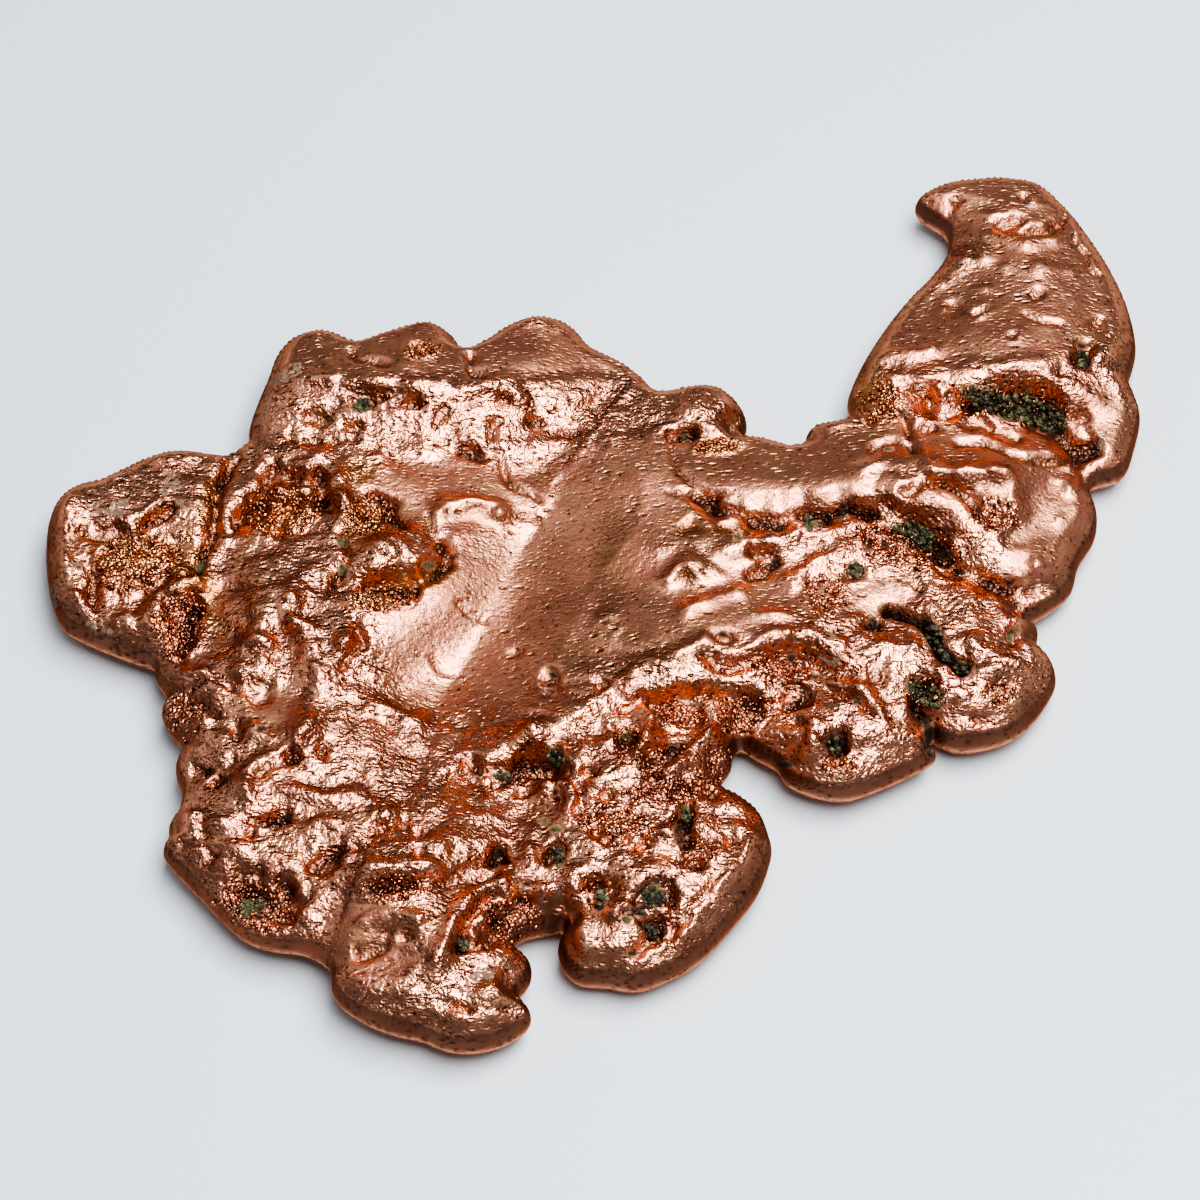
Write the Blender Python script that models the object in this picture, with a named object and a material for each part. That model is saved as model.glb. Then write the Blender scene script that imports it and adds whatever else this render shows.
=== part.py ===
"""Native copper nugget: one flat, lobed, tumbled sheet of metal that lies on its underside.

The nugget is drawn as a closed outline, raised to a slab, remeshed evenly and then shaped
point by point: its edge is rounded, the sheet is bent, and the lumps, ledges, ridges and
pits of its two faces are added to the metal's thickness.
"""
import math

import bmesh
import bpy
import numpy as np

MM = 0.001

# Driving dimensions, in millimetres.
EDGE_ABOVE = 2.4
EDGE_BELOW = 1.8
EDGE_ROUNDNESS = 2.1
SLAB_HALF_THICKNESS = 2.5
BODY_SWELL = 1.3
BODY_SWELL_REACH = 9.0
SHEET_CLEARANCE = 1.2
SHEET_WARP = 0.8
FOOT_DEPTH = 0.6
FOOT_BAND = 0.12
OUTLINE_STEP = 0.7
REMESH_SIZE = 0.85
TRIANGLES = 9400

# How far the drawing of the faces leans back for each millimetre above the drawing's height.
LEAN = 0.727
DRAWN_HEIGHT = 4.0
OUTLINE_TRIM_BACK = -0.1
OUTLINE_TRIM_FRONT = 0.27

# The outline, counter-clockwise, lobe by lobe.
OUTLINE = (
    # ear
    (-34.7, 14.7), (-36.8, 15.0), (-38.6, 15.25), (-40.4, 15.1), (-42.4, 14.3), (-44.4, 13.15),
    (-46.5, 11.9), (-48.4, 11.3), (-50.0, 9.9), (-50.9, 7.6), (-51.05, 5.0), (-50.85, 2.0),
    (-50.2, -1.5), (-49.1, -4.3), (-47.5, -5.7), (-45.0, -7.0), (-42.2, -8.3), (-40.4, -9.0),
    # left side
    (-40.0, -10.6), (-38.9, -12.5), (-39.35, -14.0), (-38.6, -16.2), (-37.2, -17.9),
    (-37.7, -19.6), (-37.6, -21.2), (-37.0, -22.8), (-37.2, -24.9), (-37.95, -26.3),
    (-37.9, -27.8), (-38.4, -29.0), (-37.4, -30.8), (-35.2, -33.3), (-32.6, -36.3),
    (-30.6, -38.1), (-28.2, -39.0), (-25.3, -39.5), (-23.2, -41.0),
    # bottom left lobe
    (-23.0, -42.9), (-22.1, -44.7), (-20.0, -46.3), (-17.6, -47.4), (-15.0, -48.1),
    (-12.8, -49.15), (-10.5, -49.3), (-8.0, -48.6), (-6.1, -47.2), (-5.7, -45.6), (-6.8, -44.0),
    (-5.8, -42.5), (-5.8, -40.6), (-7.3, -38.9), (-6.4, -37.9), (-4.4, -37.4), (-2.8, -37.2),
    # bottom middle lobe
    (-3.4, -38.9), (-3.0, -41.0), (-1.6, -42.5), (0.8, -42.8), (3.4, -43.2), (6.0, -42.2),
    (9.0, -40.2), (11.8, -36.8), (14.2, -33.2), (15.4, -29.4), (15.2, -27.3), (14.4, -25.1),
    (12.7, -23.4), (11.0, -22.1), (12.0, -20.2), (12.3, -18.6), (13.0, -17.95),
    # two lobes at the lower right, parted by a slit
    (14.4, -19.0), (16.0, -20.0), (16.8, -21.5), (19.0, -22.8), (22.0, -23.35), (24.8, -22.4),
    (28.6, -20.4), (30.5, -18.8), (30.0, -17.9), (29.8, -16.6), (30.8, -17.4), (32.2, -18.0),
    (34.4, -17.9), (37.2, -16.9), (39.3, -15.1), (40.9, -12.7), (41.7, -10.6), (41.2, -8.4),
    (40.1, -6.8), (40.3, -5.1), (38.9, -4.35),
    # right side
    (40.2, -3.7), (42.2, -2.2), (43.8, -0.4), (44.6, 2.5), (46.2, 5.4), (46.6, 8.2),
    (46.2, 11.4),
    # horn, outer side and tip
    (48.0, 12.2), (49.6, 13.2), (50.6, 16.0), (51.4, 19.6), (51.0, 22.2), (50.6, 24.0),
    (51.2, 26.0), (51.6, 28.4), (51.2, 32.4), (50.3, 36.0), (48.8, 39.8), (47.0, 43.6),
    (45.2, 46.4), (43.4, 48.4), (41.2, 49.1), (38.0, 49.2), (34.8, 48.7), (32.2, 47.4),
    (31.1, 46.0), (32.0, 44.5), (34.0, 42.8),
    # horn, inner side
    (34.1, 40.3), (33.4, 38.5), (31.9, 36.2), (30.0, 33.9), (28.1, 31.1), (25.7, 26.8),
    (24.3, 23.6), (23.7, 21.4), (24.1, 19.6),
    # bay and the small lobe beside it
    (22.6, 18.8), (20.8, 18.4), (19.7, 17.4), (19.6, 16.4), (18.2, 15.9), (16.0, 16.7),
    (14.4, 17.0), (13.2, 16.75), (14.1, 18.2), (14.0, 19.8), (12.9, 21.7), (11.2, 23.0),
    (9.0, 23.1), (7.0, 22.6), (5.5, 22.7),
    # upper edge
    (4.2, 24.4), (2.4, 26.1), (-0.5, 27.9), (-1.8, 29.7), (-3.6, 31.2), (-6.0, 31.6),
    (-8.4, 30.6), (-10.8, 28.6), (-12.7, 27.5), (-13.8, 29.2), (-15.6, 30.6), (-17.6, 30.6),
    (-20.0, 29.6), (-23.0, 28.4), (-24.8, 29.4), (-26.6, 29.85), (-29.0, 28.9), (-30.6, 26.8),
    (-31.4, 23.6), (-32.5, 19.8), (-32.85, 17.8), (-32.7, 16.6), (-34.0, 15.2),
)

# Where the underside touches down: x, y, reach.
FEET = (
    (-43.0, 5.0, 5.0), (-29.0, -26.0, 6.0), (-14.0, -39.0, 5.0), (5.0, -32.0, 6.0),
    (33.0, -10.0, 5.0), (43.0, 22.0, 5.0), (38.0, 42.0, 4.0), (-20.0, 18.0, 6.0),
)

# Broad swells and hollows of the upper face: x, y, half length, half width, turn, height.
SWELLS = (
    (-15.5, 25.3, 13.0, 6.0, -3.0, 2.3),
    (2.0, 23.5, 7.0, 4.0, -20.0, 0.5),
    (-13.5, 4.5, 6.0, 9.0, 0.0, 1.6),
    (-22.5, 4.0, 9.0, 5.5, 90.0, 1.7),
    (-20.5, -5.0, 8.0, 6.0, 70.0, 1.6),
    (-20.5, -17.0, 11.0, 7.5, 75.0, 2.1),
    (-17.0, -31.5, 9.0, 6.0, 20.0, 1.6),
    (-14.0, -39.0, 7.0, 5.0, 0.0, 0.7),
    (-30.5, -8.0, 10.0, 5.0, 90.0, 1.0),
    (-31.0, -25.0, 8.0, 5.0, 90.0, 0.8),
    (3.0, -32.5, 8.0, 6.5, 30.0, 1.3),
    (2.0, -14.0, 9.0, 4.2, 35.0, 1.2),
    (14.0, -5.0, 12.0, 4.8, 10.0, 0.9),
    (24.5, -13.5, 7.0, 5.0, 15.0, 0.6),
    (24.0, -19.5, 9.0, 3.0, 15.0, -0.6),
    (35.5, -8.5, 6.0, 5.0, 60.0, 0.7),
    (35.5, -15.0, 7.0, 3.0, 15.0, -0.5),
    (-45.5, -5.0, 6.0, 3.0, -20.0, -0.5),
    (20.0, 1.5, 5.0, 3.0, 20.0, -0.4),
    (23.0, 10.0, 21.0, 9.0, 5.0, 1.5),
    (29.0, 11.5, 8.0, 2.8, -5.0, 0.9),
    (38.0, 10.5, 7.0, 6.0, 20.0, 1.2),
    (38.0, 27.5, 10.0, 6.0, 10.0, 1.9),
    (42.0, 38.0, 9.0, 8.0, 100.0, 0.6),
    (9.5, 20.5, 4.0, 2.5, 0.0, 0.8),
    (-41.0, 3.5, 6.0, 4.5, 100.0, -1.4),
    (-34.5, -2.0, 6.0, 2.5, 90.0, -1.1),
    (-10.0, -15.0, 6.0, 4.5, 58.0, -0.8),
    (-16.5, -46.5, 8.0, 2.6, 0.0, -1.3),
    (-24.5, -36.5, 2.6, 2.2, 0.0, -1.0),
    (8.0, -1.0, 10.0, 8.5, 75.0, 1.5),
    (-6.5, -24.5, 7.0, 3.0, 60.0, -1.4),
    (27.5, 5.0, 6.0, 2.8, -15.0, -1.1),
    (41.0, 20.4, 4.4, 3.0, -12.0, -1.9),
    (26.0, -4.0, 5.0, 3.5, 0.0, -0.6),
)

# Tilted stretches: x, y, half length, half width, turn, rise for each mm along x and along y.
RAMPS = (
    (-15.6, -5.0, 10.0, 5.4, 70.0, 0.03, 0.34),
    (-11.0, 9.0, 6.0, 3.6, 75.0, 0.0, 0.24),
    (-11.5, 17.0, 4.0, 4.0, 0.0, 0.0, 0.12),
    (-13.0, 21.5, 9.0, 3.4, 0.0, 0.0, -0.10),
    (-26.5, 20.5, 4.0, 5.0, 0.0, -0.22, 0.04),
    (41.0, 6.0, 5.0, 6.0, 0.0, 0.0, -0.42),
    (-17.0, -41.5, 7.0, 3.5, 0.0, 0.0, -0.35),
    (3.0, -38.5, 7.0, 3.0, 20.0, 0.0, -0.25),
    (-29.0, -35.0, 5.0, 4.0, 0.0, 0.0, -0.3),
    (0.0, 16.5, 8.0, 6.5, 50.0, 0.0, -0.42),
    (-15.0, -25.0, 6.0, 4.0, 0.0, 0.0, 0.06),
    (33.0, -1.0, 6.0, 3.2, 0.0, 0.0, -0.16),
    (9.0, -2.0, 10.0, 3.4, 0.0, 0.0, -0.12),
    (37.0, 16.5, 9.0, 2.8, 0.0, 0.0, -0.3),
    (5.0, -15.5, 9.0, 5.5, 0.0, 0.0, -0.06),
    (-18.5, 14.5, 4.4, 3.6, 0.0, 0.0, -0.3),
    (-20.0, -15.5, 4.5, 4.0, 0.0, 0.0, -0.14),
    (-2.5, -34.0, 3.0, 4.0, 0.0, -0.4, -0.1),
    (-8.0, -25.0, 3.0, 3.0, 0.0, 0.0, -0.2),
    (20.0, -1.0, 14.0, 3.5, 0.0, 0.0, -0.14),
    (27.0, -4.5, 3.6, 3.0, 0.0, 0.0, -0.3),
    (-26.5, -22.0, 4.0, 6.5, 0.0, 0.0, 0.14),
    (12.5, -30.0, 3.0, 4.0, 0.0, 0.0, -0.2),
    (24.0, 2.5, 7.0, 4.5, 0.0, 0.0, -0.2),
    (-5.5, 12.5, 3.0, 3.0, 0.0, 0.0, -0.25),
    (16.0, 8.5, 3.0, 1.8, 0.0, 0.0, -0.2),
    (5.0, 8.0, 3.0, 4.0, 0.0, 0.0, -0.12),
    (38.5, 3.0, 3.0, 3.0, 0.0, 0.0, -0.25),
    (44.0, 11.0, 3.0, 3.0, 0.0, 0.0, -0.3),
    (-32.0, 3.0, 4.0, 3.0, 0.0, 0.0, -0.25),
    (-27.0, -12.0, 4.5, 3.0, 0.0, 0.0, -0.25),
    (-24.0, -36.0, 3.0, 3.0, 0.0, 0.0, -0.2),
    (9.5, -34.0, 6.0, 3.0, 45.0, 0.0, 0.16),
    (28.0, 9.5, 6.0, 2.4, -25.0, 0.0, 0.14),
    (37.5, 13.0, 5.0, 3.0, 0.0, 0.0, 0.14),
    (37.0, 37.0, 6.0, 5.0, 0.0, 0.0, 0.08),
    (30.5, 26.0, 4.0, 4.0, 0.0, -0.28, 0.05),
    (8.0, -14.0, 5.0, 4.0, 0.0, 0.25, -0.1),
)

# Long troughs: distance right of the bottom line and depth there, then the line's points.
TROUGHS = (
    (((-20.0, 0.0), (-9.0, 1.1), (0.0, 2.2), (1.2, 2.3), (9.0, 0.0)),
     ((-17.2, -19.0), (-15.4, -13.0), (-12.8, -7.0), (-10.4, 0.0), (-7.6, 6.0), (-4.6, 11.0))),
)

# Rounded ridges of the upper face: half width, height, then the crest's points.
RIDGES = (
    (1.5, 1.5, ((-49.0, 9.5), (-50.0, 6.0), (-49.6, 1.0), (-48.6, -3.2), (-46.0, -5.0),
                (-42.0, -4.8), (-40.0, -1.5), (-37.0, 0.3))),
    (1.3, 1.8, ((-32.5, 11.0), (-31.5, 13.5), (-29.5, 15.0), (-27.0, 14.2), (-25.5, 14.9),
                (-24.0, 12.5), (-23.3, 9.0))),
    (1.7, 1.5, ((-29.3, -0.8), (-29.8, -3.5), (-30.5, -6.5))),
    (1.4, 1.2, ((-26.5, -4.5), (-25.5, -8.0), (-25.0, -11.0))),
    (1.3, 1.0, ((-31.0, -22.0), (-30.5, -20.0), (-29.5, -18.8), (-28.0, -18.0))),
    (1.5, 1.3, ((-36.3, -30.0), (-34.5, -33.5), (-32.5, -36.5), (-28.5, -37.8), (-25.5, -38.2))),
    (1.4, 1.4, ((-8.5, -31.6), (-10.5, -33.0), (-12.3, -35.3), (-13.6, -39.0))),
    (1.4, 1.0, ((-22.0, -43.3), (-19.0, -44.8), (-15.0, -45.2), (-10.5, -46.0), (-7.2, -45.6))),
    (1.5, 1.5, ((0.5, -41.0), (5.0, -39.8), (9.5, -36.0), (13.0, -31.0), (14.0, -28.2))),
    (1.3, 1.6, ((-10.0, -19.0), (-7.5, -17.2), (-5.0, -15.6), (-2.0, -13.6), (2.0, -11.0),
                (6.0, -10.5), (10.0, -10.3), (14.5, -10.8))),
    (1.1, 1.2, ((10.5, -12.5), (10.2, -14.5), (9.2, -17.0), (8.4, -19.0))),
    (1.1, 1.2, ((4.6, -13.0), (4.1, -17.0), (3.0, -20.0), (-2.5, -19.7))),
    (1.2, 1.2, ((11.5, -7.3), (16.0, -5.4), (19.0, -4.9), (22.0, -6.7), (24.5, -12.5))),
    (1.3, 1.2, ((15.0, 11.4), (22.0, 12.0), (26.5, 12.8), (29.6, 10.7), (32.5, 8.6), (33.2, 6.6),
                (35.5, 4.4), (38.6, 3.0))),
    (1.1, 1.2, ((29.5, -9.0), (31.2, -10.2), (32.4, -12.5))),
    (1.2, 1.0, ((32.0, -15.6), (36.0, -15.9), (38.8, -14.0), (39.8, -11.0))),
    (1.3, 1.5, ((28.0, 24.4), (32.0, 25.4), (38.0, 26.0), (41.7, 25.7), (43.6, 23.6),
                (45.6, 21.8))),
    (1.1, 0.9, ((26.5, 27.3), (29.0, 28.1), (31.8, 28.3))),
    (1.2, 1.1, ((6.0, 1.5), (8.5, 2.8), (12.0, 4.6), (16.0, 5.9), (19.5, 7.2))),
    (1.2, 0.9, ((-14.6, 8.8), (-13.6, 10.4), (-11.0, 10.4), (-9.2, 9.6))),
)

# Grooves and clefts of the upper face: half width, depth, then the bottom's points.
GROOVES = (
    (0.9, 1.6, ((-33.8, 16.0), (-35.6, 12.0), (-35.2, 8.0), (-36.0, 4.0), (-36.4, -3.0),
                (-37.5, -8.5))),
    (0.8, 1.3, ((-40.0, -10.9), (-38.0, -11.0), (-35.5, -11.2))),
    (0.8, 1.3, ((-36.8, -27.9), (-34.5, -28.0), (-33.0, -29.2))),
    (0.8, 1.4, ((-23.0, 5.5), (-23.2, 2.5), (-24.3, -0.5))),
    (0.9, 1.3, ((-21.6, -4.0), (-21.3, -6.5), (-23.3, -8.8))),
    (0.9, 1.4, ((-9.6, -33.9), (-11.5, -36.0), (-12.2, -38.6))),
    (0.9, 1.2, ((6.0, -31.8), (6.5, -34.8), (6.5, -37.6))),
    (1.0, 2.2, ((26.3, -2.2), (29.7, -3.6), (30.6, -5.7), (31.4, -7.7), (33.2, -9.2))),
    (0.8, 2.6, ((28.9, -12.8), (29.4, -14.4), (29.8, -16.0), (29.8, -19.0))),
    (0.8, 1.2, ((20.3, -10.3), (22.2, -12.2), (24.0, -14.2))),
    (0.9, 1.4, ((30.5, 12.4), (32.6, 12.0), (34.6, 10.3), (35.4, 8.4))),
    (0.8, 1.1, ((34.0, 17.0), (38.5, 16.0), (41.5, 15.4), (44.6, 15.8), (45.9, 12.6))),
    (0.8, 1.0, ((25.0, 19.8), (28.6, 20.3), (29.5, 18.0), (29.8, 15.5))),
    (0.8, 1.0, ((35.0, 47.5), (34.2, 45.5), (33.8, 42.3))),
    (0.8, 0.9, ((40.6, 42.9), (43.5, 43.1), (45.2, 44.9))),
    (0.8, 0.9, ((6.2, 17.6), (7.5, 14.2), (9.2, 12.4), (10.4, 10.5))),
    (0.7, 0.8, ((-9.5, 16.2), (-8.9, 13.8), (-7.6, 12.0), (-5.4, 10.2))),
    (0.8, 1.1, ((-12.6, 27.6), (-12.3, 26.0), (-11.0, 24.6))),
)

# Pits and basins of the upper face: x, y, half length, half width, turn, depth.
PITS = (
    (-45.0, 6.4, 1.5, 0.9, 0.0, 1.0),
    (-40.0, 8.2, 1.9, 0.9, 30.0, 1.2),
    (-46.0, 0.0, 0.9, 2.1, 0.0, 0.9),
    (-37.5, -4.0, 2.2, 3.0, 0.0, 1.3),
    (-29.0, 9.6, 3.4, 2.6, 10.0, 2.3),
    (-20.3, 8.2, 2.2, 1.7, 30.0, 1.1),
    (-18.8, 0.4, 3.0, 1.0, -8.0, 1.5),
    (-15.2, 2.9, 1.4, 0.9, 40.0, 1.2),
    (-37.0, -13.6, 1.8, 2.2, 0.0, 1.4),
    (-35.0, -20.3, 1.6, 1.1, 20.0, 1.3),
    (-27.0, -18.2, 1.3, 0.8, 20.0, 1.3),
    (-28.7, -25.2, 2.4, 1.2, 10.0, 1.4),
    (-30.0, -34.2, 3.4, 2.1, -20.0, 1.6),
    (-23.0, -29.3, 2.5, 1.3, 35.0, 1.4),
    (-17.8, -31.6, 2.9, 1.5, 12.0, 1.7),
    (-7.4, -35.0, 2.2, 1.7, 30.0, 1.6),
    (-8.6, -28.8, 0.9, 0.8, 0.0, 1.6),
    (-3.2, -28.9, 0.8, 1.3, 0.0, 1.5),
    (0.4, -33.2, 0.8, 1.4, 0.0, 1.2),
    (4.6, -33.3, 1.7, 1.5, 30.0, 1.4),
    (4.6, -36.6, 1.0, 1.0, 0.0, 1.5),
    (3.0, -38.7, 0.9, 0.9, 0.0, 1.0),
    (7.6, -25.3, 0.8, 2.0, 0.0, 1.5),
    (8.6, -22.3, 2.2, 1.3, 10.0, 1.2),
    (-5.6, -19.0, 2.6, 2.0, 30.0, 1.9),
    (2.7, -16.4, 1.5, 2.2, 0.0, 2.0),
    (7.2, -13.6, 2.4, 1.2, -22.0, 1.5),
    (5.8, -18.3, 2.2, 1.2, 35.0, 1.5),
    (13.3, -13.6, 2.6, 1.5, 38.0, 1.5),
    (10.8, -18.8, 1.2, 1.8, 0.0, 1.2),
    (16.6, -8.6, 2.5, 1.6, -10.0, 1.8),
    (21.3, -17.1, 1.2, 1.5, 0.0, 2.2),
    (21.6, -19.6, 1.7, 0.8, 0.0, 1.0),
    (25.0, -3.6, 0.9, 1.0, 0.0, 1.4),
    (29.6, -11.3, 2.1, 1.7, -15.0, 2.2),
    (33.0, -8.9, 0.9, 1.1, 0.0, 1.4),
    (35.6, -12.4, 1.4, 1.2, 0.0, 1.1),
    (20.8, -0.5, 1.9, 2.1, 0.0, 0.7),
    (28.4, 6.3, 3.6, 1.9, -18.0, 1.3),
    (24.6, 9.3, 1.8, 0.9, -5.0, 1.5),
    (31.4, 4.2, 1.2, 1.0, 0.0, 1.2),
    (36.4, 8.4, 1.7, 1.7, 0.0, 0.8),
    (15.5, 2.8, 2.1, 1.0, 12.0, 1.0),
    (12.3, 6.3, 1.5, 0.8, 0.0, 0.9),
    (37.0, 22.0, 2.6, 1.5, -8.0, 1.4),
    (41.3, 21.0, 2.6, 1.7, -20.0, 1.6),
    (46.0, 27.2, 0.9, 1.3, 0.0, 1.6),
    (35.5, 41.0, 1.0, 1.0, 0.0, 0.8),
    (7.8, 17.7, 1.3, 0.8, 0.0, 1.4),
    (-22.0, 21.6, 1.2, 1.1, 0.0, 1.0),
    (-17.2, 21.3, 0.9, 0.9, 0.0, 0.9),
    (-16.5, 28.0, 1.6, 1.0, 0.0, 0.9),
    (-7.6, -44.3, 0.9, 0.8, 0.0, 0.9),
)

# Smooth, well-rubbed stretches, where the lumps fade out: x, y, half length, half width, turn.
SMOOTH_STRETCHES = (
    (-4.0, 0.0, 17.0, 8.0, 62.0),
    (-14.0, -3.0, 10.0, 6.0, 75.0),
    (-13.0, 11.0, 9.0, 4.5, 0.0),
    (12.0, 12.5, 17.0, 7.0, 8.0),
    (9.0, -1.0, 12.0, 6.0, 10.0),
    (25.0, -0.5, 9.0, 3.5, 0.0),
    (38.0, 12.5, 9.0, 5.0, 0.0),
    (42.0, 5.0, 5.0, 8.0, 0.0),
    (-8.0, 28.0, 22.0, 3.6, 0.0),
    (30.0, 17.0, 14.0, 2.5, 5.0),
    (38.0, 32.0, 12.0, 6.5, 20.0),
    (43.0, 38.0, 7.0, 10.0, 0.0),
    (38.0, 46.0, 9.0, 5.0, 0.0),
    (47.5, 18.0, 4.0, 6.0, 0.0),
    (-29.0, -13.0, 2.5, 2.5, 0.0),
    (26.5, -9.0, 3.0, 3.5, 0.0),
    (-20.0, -37.0, 4.0, 5.0, 0.0),
)

# Lumps packed side by side: how far apart, how high.
LUMPS = ((6.5, 0.5), (3.6, 0.45), (2.1, 0.26))
UNDERSIDE_LUMPS = ((9.0, 0.9), (4.5, 0.55))

# Share of the lumps' height that the smooth stretches keep.
LUMPS_ON_SMOOTH = 0.07
# The faces' relief near the edge, as a share of its full height, and where it is full.
RELIEF_AT_EDGE = 0.35
RELIEF_FULL_INSET = 2.5
WARP_SIZE = 22.0


def clear_scene():
    for old in list(bpy.data.objects):
        bpy.data.objects.remove(old, do_unlink=True)


# ---- the outline ----

def spline_through(points, step):
    """Return a smooth closed line through the points, with a point about every step."""
    line = []
    count = len(points)
    for index in range(count):
        before, start, end, after = (np.array(points[(index + k) % count]) for k in (-1, 0, 1, 2))
        pieces = max(1, round(float(np.linalg.norm(end - start)) / step))
        for piece in range(pieces):
            t = piece / pieces
            line.append(0.5 * (2 * start + (end - before) * t
                               + (2 * before - 5 * start + 4 * end - after) * t ** 2
                               + (3 * start - before - 3 * end + after) * t ** 3))
    return np.array(line)


def outward_normals(line):
    ahead = np.roll(line, -1, axis=0) - np.roll(line, 1, axis=0)
    normals = np.stack((ahead[:, 1], -ahead[:, 0]), axis=1)
    for _ in range(3):
        normals = normals + np.roll(normals, 1, axis=0) + np.roll(normals, -1, axis=0)
    return normals / np.linalg.norm(normals, axis=1, keepdims=True)


def trimmed_outline():
    """Return the outline with room left at the front and back for the edge's round."""
    line = spline_through(OUTLINE, OUTLINE_STEP)
    normals = outward_normals(line)
    back, front = np.clip(normals[:, 1:], 0, 1), np.clip(-normals[:, 1:], 0, 1)
    return line - normals * (OUTLINE_TRIM_BACK * back + OUTLINE_TRIM_FRONT * front)


def nearest_on_line(places, line):
    """Return each place's distance to the closed line and the index of the nearest point."""
    distance = np.empty(len(places))
    index = np.empty(len(places), dtype=int)
    for start in range(0, len(places), 4000):
        part = slice(start, start + 4000)
        gaps = np.linalg.norm(places[part, None, :] - line[None, :, :], axis=2)
        index[part] = gaps.argmin(axis=1)
        distance[part] = gaps.min(axis=1)
    return distance, index


# ---- shapes that the faces are made of ----

def hashed(i, j, seed):
    """Return a number from 0 to 1 for each whole-number place, always the same one."""
    mixed = np.sin(i * 127.1 + j * 311.7 + seed * 74.7) * 43758.5453
    return mixed - np.floor(mixed)


def noise(x, y, size, seed):
    """Return smooth noise from -1 to 1 with hills about one size across."""
    x, y = x / size, y / size
    i, j = np.floor(x), np.floor(y)
    u, v = x - i, y - j
    u, v = u * u * (3 - 2 * u), v * v * (3 - 2 * v)
    low = hashed(i, j, seed) * (1 - u) + hashed(i + 1, j, seed) * u
    high = hashed(i, j + 1, seed) * (1 - u) + hashed(i + 1, j + 1, seed) * u
    return 2 * (low * (1 - v) + high * v) - 1


def cobbles(x, y, size, seed):
    """Return rounded lumps packed side by side, 1 at each crown and 0 in the creases."""
    x = x / size + 0.25 * noise(x, y, size * 1.3, seed + 5)
    y = y / size + 0.25 * noise(x * size, y, size * 1.3, seed + 6)
    i, j = np.floor(x), np.floor(y)
    near = np.full(x.shape, 9.0)
    for di in (-1, 0, 1):
        for dj in (-1, 0, 1):
            cx = i + di + 0.15 + 0.7 * hashed(i + di, j + dj, seed)
            cy = j + dj + 0.15 + 0.7 * hashed(i + di, j + dj, seed + 1)
            near = np.minimum(near, (x - cx) ** 2 + (y - cy) ** 2)
    return np.clip(1 - near / 0.7, 0, 1)


def oval(x, y, cx, cy, half_length, half_width, turn):
    """Return the distance from an oval's centre, 1 on its edge."""
    cos, sin = math.cos(math.radians(turn)), math.sin(math.radians(turn))
    along = ((x - cx) * cos + (y - cy) * sin) / half_length
    across = ((y - cy) * cos - (x - cx) * sin) / half_width
    return np.hypot(along, across)


def distance_to_path(x, y, points):
    nearest = np.full(x.shape, 1e9)
    for (ax, ay), (bx, by) in zip(points, points[1:]):
        length = (bx - ax) ** 2 + (by - ay) ** 2
        t = np.clip(((x - ax) * (bx - ax) + (y - ay) * (by - ay)) / length, 0, 1)
        nearest = np.minimum(nearest, np.hypot(x - ax - t * (bx - ax), y - ay - t * (by - ay)))
    return nearest


def side_of_path(x, y, points):
    """Return 1 on the right of the path, walking along it, and -1 on its left."""
    side = np.ones(x.shape)
    nearest = np.full(x.shape, 1e9)
    for (ax, ay), (bx, by) in zip(points, points[1:]):
        gap = distance_to_path(x, y, ((ax, ay), (bx, by)))
        turned = np.where((bx - ax) * (y - ay) - (by - ay) * (x - ax) > 0, -1.0, 1.0)
        side = np.where(gap < nearest, turned, side)
        nearest = np.minimum(nearest, gap)
    return side


def fade(value, start, end):
    """Return 0 before start and 1 past end, eased between them."""
    t = np.clip((value - start) / (end - start), 0, 1)
    return t * t * (3 - 2 * t)


# ---- the nugget's two faces ----

def broad_relief(x, y):
    relief = np.zeros(x.shape)
    for cx, cy, half_length, half_width, turn, height in SWELLS:
        relief += height * np.exp(-oval(x, y, cx, cy, half_length, half_width, turn) ** 2)
    for cx, cy, half_length, half_width, turn, along_x, along_y in RAMPS:
        tilted = along_x * (x - cx) + along_y * (y - cy)
        relief += tilted * np.exp(-oval(x, y, cx, cy, half_length, half_width, turn) ** 2)
    for profile, points in TROUGHS:
        aside = side_of_path(x, y, points) * distance_to_path(x, y, points)
        relief -= np.interp(aside, *zip(*profile))
    return relief


def roughness(x, y):
    rough = np.ones(x.shape)
    for cx, cy, half_length, half_width, turn in SMOOTH_STRETCHES:
        rough *= fade(oval(x, y, cx, cy, half_length, half_width, turn), 0.6, 1.3)
    return rough


def fine_relief(x, y):
    x = x + 0.5 * noise(x, y, 3.0, 11)
    y = y + 0.5 * noise(x, y, 3.0, 12)
    share = LUMPS_ON_SMOOTH + (1 - LUMPS_ON_SMOOTH) * roughness(x, y)
    relief = np.zeros(x.shape)
    for seed, (size, height) in enumerate(LUMPS):
        relief += height * (cobbles(x, y, size, seed * 9) - 0.4) * share
    for half_width, height, points in RIDGES:
        raised = y + LEAN * 0.8 * height
        relief += height * np.exp(-(distance_to_path(x, raised, points) / half_width) ** 2)
    for half_width, depth, points in GROOVES:
        relief -= depth * np.exp(-(distance_to_path(x, y, points) / half_width) ** 2)
    for cx, cy, half_length, half_width, turn, depth in PITS:
        reach = oval(x, y, cx, cy, half_length + 0.4, half_width + 0.4, turn)
        relief -= depth * (1 - fade(reach, 0.35, 1.15))
    return relief


def underside_relief(x, y):
    relief = np.zeros(x.shape)
    for seed, (size, height) in enumerate(UNDERSIDE_LUMPS):
        relief += height * (cobbles(x, y, size, 50 + seed * 9) - 0.5)
    return relief


def clearance(x, y):
    """Return how far the sheet's underside hangs above the ground."""
    return SHEET_CLEARANCE + SHEET_WARP * noise(x, y, WARP_SIZE, 31)


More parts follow.
